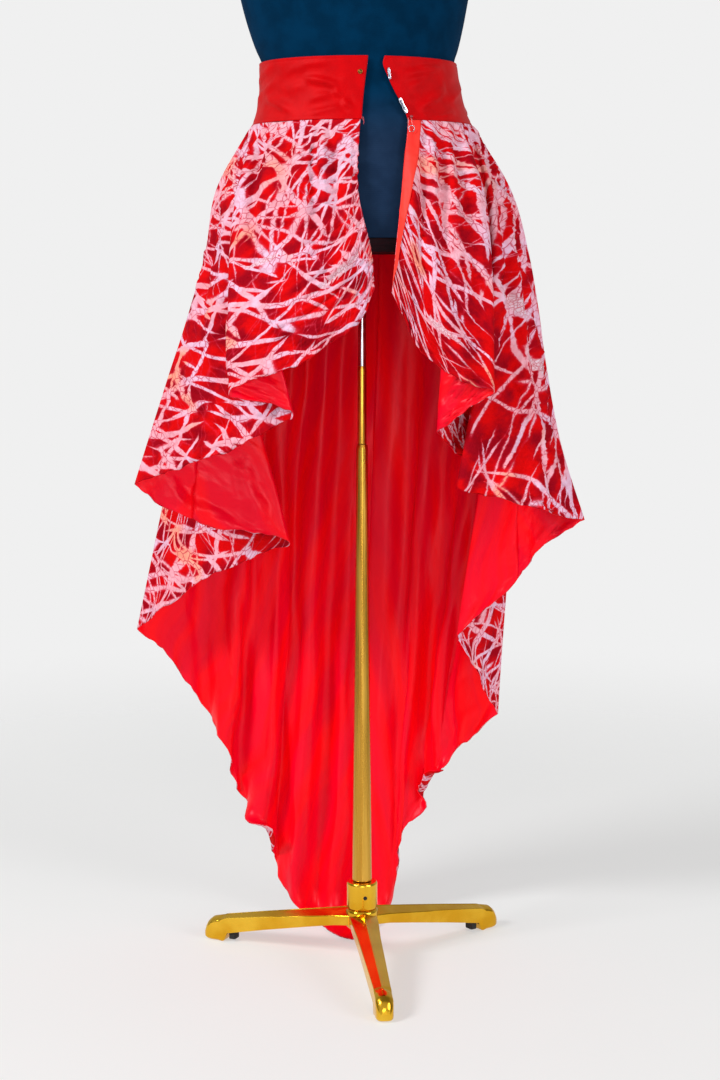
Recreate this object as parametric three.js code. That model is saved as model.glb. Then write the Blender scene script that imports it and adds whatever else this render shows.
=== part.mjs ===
// High-low skirt on a limbless dress form with a three-legged brass stand.
// Millimetres, +Z up. The open front of the skirt faces -Y, and the floor is z = 0.
// Everything is drawn about the pole's axis, then moved so that the floor plan is centred.
import * as THREE from 'three';

// ---------------------------------------------------------------- driving dimensions
const seamGap = 0.3;                      // free space between neighbouring pieces
const cloth = { shell: 1.0, lining: 1.0, band: 1.8, facing: 0.8 };
const seamZ = 1015;                       // seam of the waistband and the skirt
const bandTopZ = 1086;
const puffZ = 940;                        // where the gathered cloth stands out most
const hipZ = 865;                         // just below the dress form
const floorClearance = 0.6;
const pitchOfGathers = 18;
const gatherDepth = 2.4;
const planCentre = { x: -11.5, y: -13.4 }; // middle of the floor plan, from the pole's axis

// Half widths and half depths of the rings that the cloth hangs from.
const seamRing = { halfWidth: 129, front: 104, back: 102 };
const hipRing = { halfWidth: 162, front: 126, back: 130 };

const table = (columns, rows) =>
  rows.map((row) => Object.fromEntries(columns.map((column, i) => [column, row[i]])));

// One row for each ridge, valley or edge line of the skirt, from the left front edge round the
// back to the right front edge. seam and hip are bearings from the front, towards -X, in degrees;
// out is how far the line stands off the hip ring; hemX, hemY and hemZ are its lower end; fold
// marks a line where the cloth doubles back on itself.
const lines = table(
  ['name', 'seam', 'hip', 'out', 'hemX', 'hemY', 'hemZ', 'puff', 'fold'], [
    ['left_front_edge', 1.1, -4.5, 13, 13, -145, 827, 1, 0],
    ['left_front_a', 12, 6, 17, -2, -146, 792, 2, 0],
    ['left_front_b', 36, 29, 22, -68, -143, 745, 4, 0],
    ['left_fold_1', 64, 56.5, 32, -150, -135, 710, 12, 1],
    ['left_fold_2', 69, 51.5, 11, -79, -115, 686, 3, 1],
    ['left_side_a', 73.5, 62, 16, -142, -104, 647, 9, 0],
    ['left_side_b', 78, 74, 20, -207, -80, 622, 12, 0],
    ['left_fold_3', 83, 87, 24, -269, -40, 595, 14, 1],
    ['left_side_c', 88, 94, 17, -205, -5, 549, 10, 0],
    ['left_fold_4', 93, 101, 11, -89, 30, 519, 3, 1],
    ['left_side_d', 99.5, 105.5, 22, -188, 58, 472, 5, 0],
    ['left_fold_5', 106, 110.5, 33, -285, 108, 397, 6, 1],
    ['back_1', 114, 118.5, 16, -252, 142, 357, 4, 0],
    ['back_2', 122, 126, 33, -213, 170, 290, 9, 0],
    ['back_3', 130, 134, 14, -177, 150, 232, 4, 0],
    ['back_4', 138, 142, 30, -165, 178, 170, 9, 0],
    ['back_5', 146, 149.5, 15, -130, 156, 110, 4, 0],
    ['back_6', 154, 157, 30, -116, 184, 72, 9, 0],
    ['back_7', 162, 165, 14, -93, 162, 22, 4, 0],
    ['train_1', 170, 172.5, 30, -60, 136, 3, 9, 0],
    ['train_2', 178, 180.5, 14, -31, 78, 3, 4, 0],
    ['train_3', 186, 188, 31, -5, 63, 3, 9, 0],
    ['train_4', 194, 196, 15, 15, 108, 3, 4, 0],
    ['train_side', 202, 204, 30, 40, 174, 20, 9, 0],
    ['back_8', 211, 213, 14, 52, 158, 116, 4, 0],
    ['back_9', 220, 223, 29, 80, 178, 147, 9, 0],
    ['back_10', 229, 232, 16, 95, 142, 188, 5, 0],
    ['back_11', 238, 241, 30, 118, 138, 224, 9, 0],
    ['back_12', 247, 250, 18, 136, 106, 254, 6, 0],
    ['right_fold_1', 256, 258, 36, 171, 78, 292, 9, 1],
    ['right_side_a', 260, 263, 24, 146, 52, 345, 8, 0],
    ['right_fold_2', 264, 268.5, 11, 117, 28, 402, 5, 1],
    ['right_side_b', 267, 272, 24, 189, -2, 477, 9, 0],
    ['right_side_c', 270, 275, 33, 216, -26, 520, 11, 0],
    ['right_fold_3', 273, 278.5, 36, 262, -50, 555, 12, 1],
    ['right_side_d', 276, 286, 31, 222, -76, 566, 12, 0],
    ['right_side_e', 279, 292, 25, 168, -90, 584, 10, 0],
    ['right_fold_4', 282, 299, 24, 110, -98, 597, 9, 1],
    ['right_fold_5', 285.5, 300, 0, 161, -54, 614, 11, 1],
    ['right_side_f', 289, 310, 1, 116, -74, 634, 7, 0],
    ['right_fold_6', 292.5, 318, 9, 86, -105, 664, 4, 1],
    ['right_fold_7', 297, 305.5, 33, 149, -127, 711, 11, 1],
    ['right_front_a', 307, 318, 30, 112, -138, 724, 9, 0],
    ['right_front_b', 320, 332, 23, 70, -141, 753, 6, 0],
    ['right_front_edge', 331.3, 345, 15, 33, -141, 822, 1, 0],
  ]);

// Where the train lines reach the floor behind the stand, before they run forward on it.
const landings = {
  train_1: { x: -61, y: 184 }, train_2: { x: -37, y: 168 }, train_3: { x: -11, y: 188 },
  train_4: { x: 13, y: 168 },
};
const landing = { z: 6, bendZ: 30, bend: 15 };   // the bend of the train, just above the floor

// Places where an edge or a fold's tip bows away from its smooth line.
const bows = {
  left_front_edge: { x: -6, y: -128, z: 943 },
  right_fold_3: { x: 233, y: -30, z: 650 },
};

// Rounded turn of a fold: how far it is back from the tip, how wide it is, and the largest
// share of the cloth beside it that it takes.
const turn = { back: 4, width: 9, share: 0.2 };

// Fractions of each line's length where the wall has a row of points.
const rows = [0, 0.035, 0.085, 0.15, 0.24, 0.36, 0.5, 0.65, 0.79, 0.885, 0.945, 1];

// Panels of the skirt, each from one line to another.
const panels = table(
  ['name', 'from', 'to'], [
    ['front_left', 'left_front_edge', 'left_side_c'],
    ['back_left', 'left_side_c', 'train_3'],
    ['back_right', 'train_3', 'right_side_b'],
    ['front_right', 'right_side_b', 'right_front_edge'],
  ]);

// ---------------------------------------------------------------- materials
const finish = (color, roughness, metalness = 0) =>
  new THREE.MeshStandardMaterial({ color, roughness, metalness });
const printedCotton = finish(0xd2233a, 0.85);
const redLining = finish(0xe00d10, 0.45);
const plainRedCotton = finish(0xd30508, 0.8);
const coralFacing = finish(0xf04a3c, 0.6);
const navyCover = finish(0x07304e, 0.9);
const blackRim = finish(0x16141a, 0.7);
const brass = finish(0xc08a2c, 0.25, 1);
const chrome = finish(0xc9ccd0, 0.15, 1);
const blackRubber = finish(0x17140f, 0.8);

// ---------------------------------------------------------------- closed bodies
const group = new THREE.Group();
const body = new THREE.Group();
body.position.set(-planCentre.x, -planCentre.y, 0);
group.add(body);

function add(name, geometry, material) {
  const mesh = new THREE.Mesh(geometry, material);
  mesh.name = name;
  body.add(mesh);
  return mesh;
}

function closedGeometry(points, faces) {
  const geometry = new THREE.BufferGeometry();
  const positions = faces.flatMap((face) => face.flatMap((index) => points[index].toArray()));
  geometry.setAttribute('position', new THREE.Float32BufferAttribute(positions, 3));
  return geometry;
}

// A wall between two grids of points [column][row], closed round its four edges. Columns follow
// the cloth round the body, rows run down it, and the outer grid is the one away from the body.
// crossed says which of its cells are split along their other diagonal.
function wallGeometry(outer, inner, crossed = () => false) {
  const nColumns = outer.length;
  const nRows = outer[0].length;
  const points = [...outer.flat(), ...inner.flat()];
  const at = (side, i, j) => side * nColumns * nRows + i * nRows + j;
  const faces = [];
  const quad = (a, b, c, d) => faces.push([a, c, b], [a, d, c]);
  for (let i = 0; i < nColumns - 1; i += 1) {
    for (let j = 0; j < nRows - 1; j += 1) {
      const corners = [[i, j], [i, j + 1], [i + 1, j + 1], [i + 1, j]];
      if (crossed(i, j)) corners.push(corners.shift());
      const [a, b, c, d] = corners;
      quad(at(0, ...a), at(0, ...b), at(0, ...c), at(0, ...d));
      quad(at(1, ...a), at(1, ...d), at(1, ...c), at(1, ...b));
    }
    quad(at(0, i, 0), at(0, i + 1, 0), at(1, i + 1, 0), at(1, i, 0));
    const last = nRows - 1;
    quad(at(0, i, last), at(1, i, last), at(1, i + 1, last), at(0, i + 1, last));
  }
  const end = nColumns - 1;
  for (let j = 0; j < nRows - 1; j += 1) {
    quad(at(0, 0, j), at(1, 0, j), at(1, 0, j + 1), at(0, 0, j + 1));
    quad(at(0, end, j), at(0, end, j + 1), at(1, end, j + 1), at(1, end, j));
  }
  return closedGeometry(points, faces);
}

// A solid through closed rings of points, lowest first, capped at both ends.
function loftGeometry(rings) {
  const count = rings[0].length;
  const points = rings.flat();
  const faces = [];
  for (let k = 0; k < rings.length - 1; k += 1) {
    for (let i = 0; i < count; i += 1) {
      const next = (i + 1) % count;
      const [a, b] = [k * count + i, k * count + next];
      faces.push([a, b, b + count], [a, b + count, a + count]);
    }
  }
  const top = (rings.length - 1) * count;
  for (let i = 1; i < count - 1; i += 1) {
    faces.push([0, i + 1, i], [top, top + i, top + i + 1]);
  }
  return closedGeometry(points, faces);
}

// ---------------------------------------------------------------- rings round the pole
// A point at a bearing from the front (towards -X), at a distance outside an egg-shaped ring
// whose centre may be to the side of the pole.
function onRing(ring, bearing, out, z) {
  const angle = THREE.MathUtils.degToRad(bearing);
  const [s, c] = [Math.sin(angle), Math.cos(angle)];
  const depth = c > 0 ? ring.front : ring.back;
  const radius = 1 / Math.hypot(s / ring.halfWidth, c / depth) + out;
  return new THREE.Vector3((ring.centreX ?? 0) - s * radius, -c * radius, z);
}

function betweenSections(sections, z) {
  const above = sections.findIndex((section) => section.z >= z);
  const k = Math.max(1, above < 0 ? sections.length - 1 : above);
  const [low, high] = [sections[k - 1], sections[k]];
  const t = THREE.MathUtils.clamp((z - low.z) / (high.z - low.z), 0, 1);
  const mix = (key) => THREE.MathUtils.lerp(low[key], high[key], t);
  return { halfWidth: mix('halfWidth'), front: mix('front'), back: mix('back'), centreX: mix('centreX') };
}

// ---------------------------------------------------------------- the skirt's middle surface
const hemPoint = (line) => new THREE.Vector3(line.hemX, line.hemY, line.hemZ);

// One smooth line of the skirt, from the waist seam over the hip to the hem, or to the bend
// above the floor.
function lineCurve(line) {
  const start = onRing(seamRing, line.seam, 0, seamZ - seamGap / 2);
  const hip = onRing(hipRing, line.hip, line.out, hipZ);
  const puff = start.clone().lerp(hip, 0.5);
  const outward = new THREE.Vector3(puff.x, puff.y, 0).normalize();
  puff.addScaledVector(outward, line.puff).setZ(puffZ);
  const bow = bows[line.name];
  const bowPoint = bow && new THREE.Vector3(bow.x, bow.y, bow.z);
  const points = bow?.z > hipZ ? [start, bowPoint, hip] : [start, puff, hip];
  if (bow?.z < hipZ) points.push(bowPoint);
  const spot = landings[line.name];
  points.push(spot ? new THREE.Vector3(spot.x, spot.y, landing.bendZ) : hemPoint(line));
  const curve = new THREE.CatmullRomCurve3(points, false, 'centripetal');
  curve.arcLengthDivisions = 400;
  return curve;
}

const lineRows = lines.map((line) => {
  const curve = lineCurve(line);
  const spot = landings[line.name];
  if (!spot) return rows.map((fraction) => curve.getPointAt(fraction));
  const hanging = rows.slice(0, -2);
  return [
    ...hanging.map((fraction) => curve.getPointAt(fraction / hanging.at(-1))),
    new THREE.Vector3(spot.x, spot.y - landing.bend, landing.z),
    hemPoint(line),
  ];
});

// Beside a fold's tip, one more line on each side gives the cloth a rounded turn.
function turnPoints(before, tip, after) {
  const u = before.clone().sub(tip);
  const v = after.clone().sub(tip);
  const most = turn.share * Math.min(u.length(), v.length());
  const apart = u.normalize().clone().sub(v.normalize()).normalize();
  const tight = (1 + u.dot(v)) / 2;
  const half = Math.min(turn.width / 2, most) * tight;
  const back = Math.min(turn.back, most);
  return [
    tip.clone().addScaledVector(u, back).addScaledVector(apart, half),
    tip.clone().addScaledVector(v, back).addScaledVector(apart, -half),
  ];
}

const controls = lines.flatMap((line, k) => {
  const own = { name: line.name, points: lineRows[k], close: false };
  if (!line.fold) return [own];
  const sides = rows.map((_, j) => turnPoints(lineRows[k - 1][j], lineRows[k][j], lineRows[k + 1][j]));
  return [
    { name: `${line.name}_before`, points: sides.map((side) => side[0]), close: true },
    { ...own, close: true },
    { name: `${line.name}_after`, points: sides.map((side) => side[1]), close: false },
  ];
});

// The grid of the middle surface: a point halfway between two lines, on a smooth curve across
// them, except in the short turns.
function acrossCurve(j, k) {
  const pick = (index) => controls[THREE.MathUtils.clamp(index, 0, controls.length - 1)].points[j];
  const [p0, p1, p2, p3] = [pick(k - 1), pick(k), pick(k + 1), pick(k + 2)];
  const reach = p1.distanceTo(p2);
  const tangent = (from, here, to) => {
    const whole = to.clone().sub(from);
    return whole.multiplyScalar(reach / Math.max(from.distanceTo(here) + here.distanceTo(to), 1e-6));
  };
  const [m1, m2] = [tangent(p0, p1, p2), tangent(p1, p2, p3)];
  return p1.clone().add(p2).multiplyScalar(0.5).addScaledVector(m1.sub(m2), 1 / 8);
}

const grid = [];
const columnOf = {};
controls.forEach((control, k) => {
  columnOf[control.name] = grid.length;
  grid.push(control.points.map((point) => point.clone()));
  if (k < controls.length - 1 && !control.close) {
    grid.push(rows.map((_, j) => acrossCurve(j, k)));
  }
});

// The outward normal at each point: the mean of those of the cells' corners that meet there.
function gridNormals(points) {
  const corner = (i, j, acrossStep, downStep) => {
    const across = points[i + acrossStep]?.[j];
    const down = points[i][j + downStep];
    if (!across || !down) return new THREE.Vector3();
    const [u, v] = [across.clone().sub(points[i][j]), down.clone().sub(points[i][j])];
    return u.cross(v).normalize().multiplyScalar(acrossStep * downStep);
  };
  return points.map((column, i) => column.map((_, j) => {
    const normal = new THREE.Vector3();
    for (const acrossStep of [-1, 1]) {
      for (const downStep of [-1, 1]) normal.add(corner(i, j, acrossStep, downStep));
    }
    return normal.normalize();
  }));
}

// Gathers: small waves that open just below the seam and die out towards the hip.
function addGathers(points) {
  const normals = gridNormals(points);
  let along = 0;
  points.forEach((column, i) => {
    if (i > 0) along += column[0].distanceTo(points[i - 1][0]);
    const wave = Math.cos((2 * Math.PI * along) / pitchOfGathers);
    const edge = Math.min(i, points.length - 1 - i, 3) / 3;
    column.forEach((point, j) => {
      const drop = point.distanceTo(column[0]);
      const depth = gatherDepth * Math.min(drop / 14, 1) * Math.exp(-drop / 70) * edge;
      point.addScaledVector(normals[i][j], wave * depth);
    });
  });
}
addGathers(grid);
const normals = gridNormals(grid);

// ---------------------------------------------------------------- walls on the middle surface
const wallMiddle = Math.max(cloth.shell, cloth.lining) + seamGap / 2 + floorClearance;

function surface(from, to, offset) {
  const columns = [];
  for (let i = from; i <= to; i += 1) {
    columns.push(grid[i].map((point, j) => {
      const moved = point.clone().setZ(Math.max(point.z, wallMiddle));
      const normal = normals[i][j].clone();
      if (j === 0) normal.setZ(0).normalize();
      return moved.addScaledVector(normal, offset);
    }));
  }
  const pullIn = (edge, next) => edge.forEach((point, j) => {
    const step = next[j].clone().sub(point);
    point.addScaledVector(step, seamGap / 2 / step.length());
  });
  pullIn(columns[0], columns[1]);
  pullIn(columns[columns.length - 1], columns[columns.length - 2]);
  return columns;
}

// Every cell of the cloth is split along its shorter diagonal.
function layer(from, to, low, high) {
  const crossed = (i, j) => {
    const [left, right] = [grid[from + i], grid[from + i + 1]];
    return left[j].distanceTo(right[j + 1]) > left[j + 1].distanceTo(right[j]);
  };
  return wallGeometry(surface(from, to, high), surface(from, to, low), crossed);
}

for (const panel of panels) {
  const [from, to] = [columnOf[panel.from], columnOf[panel.to]];
  const half = seamGap / 2;
  add(`shell_${panel.name}`, layer(from, to, half, half + cloth.shell), printedCotton);
  add(`lining_${panel.name}`, layer(from, to, -half - cloth.lining, -half), redLining);
}

// The narrow facing turned out along the right front edge.
const edgeColumn = columnOf.right_front_edge;
const facingLow = seamGap * 1.5 + cloth.shell;
add('facing_right_edge',
  layer(edgeColumn - 1, edgeColumn, facingLow, facingLow + cloth.facing), coralFacing);

// ---------------------------------------------------------------- waistband
const bandSections = table(
  ['z', 'centreX', 'halfWidth', 'front', 'back', 'leftEndX', 'rightEndX'], [
    [seamZ + seamGap / 2, 0, 127.4, 102.6, 100.6, -0.5, 51],
    [1031, -1, 121.4, 98.8, 96.4, 0.5, 45],
    [1047, -2, 118.0, 96.4, 94.2, 2, 36],
    [1064, -3, 115.6, 95.0, 92.8, 4, 28],
    [1080, -4.5, 114.2, 94.4, 92.2, 6, 23],
    [bandTopZ, -5, 113.8, 94.4, 92.2, 6.5, 25],
  ]);
const bandSteps = 64;

function bandPoint(section, x, out) {
  const depth = section.front + out;
  const across = (x - section.centreX) / (section.halfWidth + out);
  return new THREE.Vector3(x, -depth * Math.sqrt(1 - across ** 2), section.z);
}

function bandColumns(out) {
  const columns = [];
  for (let i = 0; i <= bandSteps; i += 1) {
    columns.push(bandSections.toReversed().map((section) => {
      const bearing = (x) => {
        const end = bandPoint(section, x, 0);
        return THREE.MathUtils.radToDeg(Math.atan2(section.centreX - end.x, -end.y));
      };
      const [first, last] = [bearing(section.leftEndX), 360 + bearing(section.rightEndX)];
      const at = THREE.MathUtils.lerp(first, last, i / bandSteps);
      return onRing(section, at, out, section.z);
    }));
  }
  return columns;
}
add('waistband', wallGeometry(bandColumns(cloth.band), bandColumns(0)), plainRedCotton);

// ---------------------------------------------------------------- hooks and studs on the band
// Places a piece on the front of the band, with its own +Z along the band's outward normal.
function onBand(mesh, x, z, tilt = 0, lift = 0) {
  const section = { z, ...betweenSections(bandSections, z) };
  const place = bandPoint(section, x, cloth.band + seamGap);
  const side = bandPoint(section, x + 1, cloth.band + seamGap).sub(place).normalize();
  const outward = side.clone().cross(new THREE.Vector3(0, 0, 1)).normalize();
  const up = outward.clone().cross(side);
  mesh.position.copy(place);
  mesh.quaternion.setFromRotationMatrix(new THREE.Matrix4().makeBasis(side, up, outward));
  mesh.rotateZ(tilt);
  mesh.translateZ(lift);
}

function domeGeometry(radius, height, sides) {
  const profile = [[0, 0], [radius, 0], [radius, height * 0.4], [radius * 0.7, height * 0.85], [0, height]];
  const lathe = new THREE.LatheGeometry(profile.map(([r, y]) => new THREE.Vector2(r, y)), sides);
  return lathe.rotateX(Math.PI / 2);
}

function plateGeometry(width, height, thickness) {
  return new THREE.BoxGeometry(width, height, thickness).translate(0, 0, thickness / 2);
}

onBand(add('stud_left', domeGeometry(2.6, 2, 16), brass), -2.2, 1068);
onBand(add('hook_upper', plateGeometry(3.6, 13, 1.6), chrome), 30, 1066, 0.12, 0.6);
onBand(add('hook_lower', plateGeometry(4.2, 17, 2), chrome), 43.5, 1034, 0.5, 1.7);

// ---------------------------------------------------------------- dress form
const formSections = table(
  ['z', 'centreX', 'halfWidth', 'front', 'back'], [
    [883.3, 0, 155, 117, 121],
    [915, 0, 152, 116, 119],
    [940, 0, 146.5, 113, 114],
    [965, 0, 140, 109, 108],
    [990, 0, 131.5, 103.5, 101.5],
    [1015, 0, 123, 98.5, 96.5],
    [1040, -1.5, 115.8, 94.2, 92.2],
    [1066, -3, 112.4, 92, 90],
    [1086, -5, 112.2, 92, 89.8],
    [1100, -6, 117.6, 95.5, 91],
    [1125, -7.5, 125, 100, 92.5],
    [1160, -9, 133, 106, 95],
    [1215, -9, 143, 115, 98],
    [1275, -9, 149, 117, 100],
    [1330, -9, 158, 108, 98],
    [1372, -9, 164, 90, 88],
    [1398, -9, 150, 76, 78],
    [1420, -9, 112, 64, 68],
    [1438, -9, 74, 55, 60],
    [1456, -9, 57, 51, 54],
    [1500, -9, 53, 48, 50],
  ]);
const formSides = 32;
const rim = { bottom: 867, top: 883, inset: 1.5 };
const neckCap = { top: 1510, rimRadius: 56, depth: 52 };

function sectionRing(section, z, inset = 0) {
  const ring = [];
  for (let i = 0; i < formSides; i += 1) {
    ring.push(onRing(section, -(360 * i) / formSides, -inset, z));
  }
  return ring;
}
add('form_torso', loftGeometry(formSections.map((s) => sectionRing(s, s.z))), navyCover);
const lowest = formSections[0];
add('form_rim', loftGeometry([
  sectionRing(lowest, rim.bottom, rim.inset + 3),
  sectionRing(lowest, rim.bottom + 3, rim.inset),
  sectionRing(lowest, rim.top, rim.inset),
]), blackRim);
const capRing = {
  centreX: formSections.at(-1).centreX, halfWidth: neckCap.rimRadius,
  front: neckCap.depth, back: neckCap.depth,
};
add('form_neck_cap', loftGeometry([
  sectionRing(capRing, 1500.3), sectionRing(capRing, neckCap.top - 3), sectionRing(capRing, neckCap.top, 5),
]), blackRim);

// ---------------------------------------------------------------- pole
function turned(name, profile, sides, material) {
  const points = [[0, profile[0][1]], ...profile, [0, profile.at(-1)[1]]];
  const lathe = new THREE.LatheGeometry(points.map(([r, z]) => new THREE.Vector2(r, z)), sides);
  return add(name, lathe.rotateX(Math.PI / 2), material);
}
const stand = { hubRadius: 20, hubBottom: 38, hubTop: 66, collarTop: 100, legReach: 216 };
const pole = { lowerTop: 640, tubeTop: 734, lowerFoot: 12.2, lowerHead: 7, tube: 5.4, rod: 4.9 };
turned('pole_lower', [[pole.lowerFoot, stand.collarTop + seamGap], [9.6, 340], [pole.lowerHead + 0.4, 560],
  [pole.lowerHead, pole.lowerTop]], 20, brass);
turned('pole_tube', [[pole.tube, pole.lowerTop + seamGap], [pole.tube, pole.tubeTop]], 16, brass);
turned('pole_rod', [[pole.rod, pole.tubeTop + seamGap], [pole.rod, rim.bottom - seamGap]], 16, chrome);

// ---------------------------------------------------------------- stand
turned('stand_hub', [[14, stand.hubBottom], [stand.hubRadius, stand.hubBottom + 5],
  [stand.hubRadius, stand.hubTop - 2], [stand.hubRadius - 2, stand.hubTop]], 24, brass);
turned('stand_collar', [[18, stand.hubTop + seamGap], [19, stand.hubTop + 3],
  [19, stand.collarTop - 2], [17.5, stand.collarTop]], 24, brass);

// A leg's sections, from the hub to the toe: distance from the axis, half width, and the
// heights of its underside, its shoulders and its ridge.
const legSections = table(
  ['reach', 'half', 'under', 'shoulder', 'ridge'], [
    [stand.hubRadius + seamGap, 16, 46, 58, 65],
    [70, 14.2, 35.5, 49.5, 56],
    [130, 12.2, 22.8, 40, 45],
    [182, 10.4, 11, 31, 35],
    [187, 10.4, 1, 30, 34],
    [189, 10.5, 0, 29, 33],
    [205, 10.6, 0, 23, 29],
    [212, 9.2, 0.5, 15, 22],
    [stand.legReach, 5.6, 4, 9, 14],
  ]);
const legBearings = table(['name', 'degrees'], [['front', -82.9], ['right', 37.1], ['left', 157.1]]);

function legGeometry() {
  return loftGeometry(legSections.map((s) => [
    new THREE.Vector3(s.reach, -s.half, s.under), new THREE.Vector3(s.reach, s.half, s.under),
    new THREE.Vector3(s.reach, s.half, s.shoulder), new THREE.Vector3(s.reach, 0, s.ridge),
    new THREE.Vector3(s.reach, -s.half, s.shoulder),
  ]));
}

// The pad under a leg, just behind its toe: distance from the axis and height of its top.
const padTops = [[173, 12.8], [181.5, 10.7]];
const pad = { half: 7, bottom: 3 };

function padGeometry() {
  return loftGeometry(padTops.map(([reach, top]) => [
    new THREE.Vector3(reach, -pad.half, pad.bottom), new THREE.Vector3(reach, pad.half, pad.bottom),
    new THREE.Vector3(reach, pad.half, top), new THREE.Vector3(reach, -pad.half, top),
  ]));
}

for (const leg of legBearings) {
  const angle = THREE.MathUtils.degToRad(leg.degrees);
  add(`leg_${leg.name}`, legGeometry(), brass).rotation.z = angle;
  add(`pad_${leg.name}`, padGeometry(), blackRubber).rotation.z = angle;
}

export default group;
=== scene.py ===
import math

import bpy
import numpy as np
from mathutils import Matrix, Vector


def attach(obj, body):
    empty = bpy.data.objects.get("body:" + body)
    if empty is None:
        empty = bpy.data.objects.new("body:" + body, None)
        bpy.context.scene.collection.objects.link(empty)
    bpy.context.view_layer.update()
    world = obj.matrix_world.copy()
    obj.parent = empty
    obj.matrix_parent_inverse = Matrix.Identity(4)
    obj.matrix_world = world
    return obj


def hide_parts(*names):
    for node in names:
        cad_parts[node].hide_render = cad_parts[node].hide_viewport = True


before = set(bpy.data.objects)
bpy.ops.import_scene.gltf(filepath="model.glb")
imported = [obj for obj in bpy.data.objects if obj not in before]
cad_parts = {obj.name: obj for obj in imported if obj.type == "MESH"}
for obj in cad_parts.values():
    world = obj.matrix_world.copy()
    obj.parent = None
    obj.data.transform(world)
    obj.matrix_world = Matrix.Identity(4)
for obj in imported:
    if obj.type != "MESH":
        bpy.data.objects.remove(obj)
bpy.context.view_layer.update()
scene = bpy.context.scene

# Sizes are in millimetres about the pole's axis, and put() takes them to metres in the frame.
POLE = np.array([11.5, 13.4, 0.0])
MM = 0.001


def put(points):
    return (np.asarray(points, float) + POLE) * MM


# ------------ driving sizes
SEAM_GAP = 0.3
SHELL, LINING, BAND, FACING = 0.7, 0.6, 1.8, 0.8
SEAM_Z, PUFF_Z, HIP_Z = 1015.0, 940.0, 865.0
SEAM_RING = {"half": 129.0, "front": 104.0, "back": 102.0}
HIP_RING = {"half": 162.0, "front": 126.0, "back": 130.0}
FLOOR_Z = 1.75

# name, seam, hip, out, hem x, y, z, puff, fold
LINES = [
    ("left_front_edge", 1.1, -4.5, 13, 13, -145, 827, 1, 0),
    ("left_front_a", 12, 6, 17, -2, -146, 792, 2, 0),
    ("left_front_b", 36, 29, 22, -68, -143, 745, 4, 0),
    ("left_fold_1", 64, 56.5, 32, -150, -135, 710, 12, 1),
    ("left_fold_2", 69, 51.5, 11, -79, -115, 686, 3, 1),
    ("left_side_a", 73.5, 62, 16, -142, -104, 647, 9, 0),
    ("left_side_b", 78, 74, 20, -207, -80, 622, 12, 0),
    ("left_fold_3", 83, 87, 24, -269, -40, 595, 14, 1),
    ("left_side_c", 88, 94, 17, -205, -5, 549, 10, 0),
    ("left_fold_4", 93, 101, 11, -89, 30, 519, 3, 1),
    ("left_side_d", 99.5, 105.5, 22, -188, 58, 472, 5, 0),
    ("left_fold_5", 106, 110.5, 33, -285, 108, 397, 6, 1),
    ("back_1", 114, 118.5, 16, -252, 142, 357, 4, 0),
    ("back_2", 122, 126, 33, -213, 170, 290, 9, 0),
    ("back_3", 130, 134, 14, -177, 150, 232, 4, 0),
    ("back_4", 138, 142, 26, -165, 178, 170, 9, 0),
    ("back_5", 146, 149.5, 18, -130, 156, 110, 4, 0),
    ("back_6", 154, 157, 30, -116, 184, 72, 9, 0),
    ("back_7", 162, 165, 14, -93, 162, 22, 4, 0),
    ("train_1", 170, 172.5, 25, -60, 136, 3, 9, 0),
    ("train_2", 178, 180.5, 18, -31, 78, 3, 4, 0),
    ("train_3", 186, 188, 25, -5, 63, 3, 9, 0),
    ("train_4", 194, 196, 20, 15, 108, 3, 4, 0),
    ("train_side", 202, 204, 25, 40, 172, 20, 9, 0),
    ("back_8", 211, 213, 17, 54, 162, 116, 4, 0),
    ("back_9", 220, 223, 24, 80, 178, 147, 9, 0),
    ("back_10", 229, 232, 20, 95, 142, 188, 5, 0),
    ("back_11", 238, 241, 26, 118, 138, 224, 9, 0),
    ("back_12", 247, 250, 18, 136, 106, 254, 6, 0),
    ("right_fold_1", 256, 258, 36, 171, 78, 292, 9, 1),
    ("right_side_a", 260, 263, 24, 146, 52, 345, 8, 0),
    ("right_fold_2", 264, 268.5, 11, 117, 28, 402, 5, 1),
    ("right_side_b", 267, 272, 24, 189, -2, 477, 9, 0),
    ("right_side_c", 270, 275, 33, 216, -26, 520, 11, 0),
    ("right_fold_3", 273, 278.5, 36, 262, -50, 555, 12, 1),
    ("right_side_d", 276, 286, 31, 222, -76, 566, 12, 0),
    ("right_side_e", 279, 292, 25, 168, -90, 584, 10, 0),
    ("right_fold_4", 282, 299, 24, 110, -98, 597, 9, 1),
    ("right_fold_5", 285.5, 300, 0, 161, -54, 614, 11, 1),
    ("right_side_f", 289, 310, 1, 116, -74, 634, 7, 0),
    ("right_fold_6", 292.5, 318, 9, 86, -105, 664, 4, 1),
    ("right_fold_7", 297, 305.5, 33, 149, -127, 711, 11, 1),
    ("right_front_a", 307, 318, 30, 112, -138, 724, 9, 0),
    ("right_front_b", 320, 332, 23, 70, -141, 753, 6, 0),
    ("right_front_edge", 331.3, 345, 15, 33, -141, 822, 1, 0),
]
# Where the train lines reach the floor behind the stand: x and y.
LANDINGS = {"train_1": (-61, 184), "train_2": (-37, 168), "train_3": (-11, 188),
            "train_4": (13, 168)}
BEND_Z, BEND_END_Z, BEND_BACK = 30.0, 6.0, 15.0
LANDING_SHARES = (0.885, 0.945)
# The share that the lines beside the train have reached at its first landing share, so that
# the rows stay level from line to line.
BESIDE_LANDING = {"back_6": 0.915, "back_7": 0.955, "train_side": 0.95, "back_8": 0.955,
                  "back_9": 0.93, "back_10": 0.905}
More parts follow.
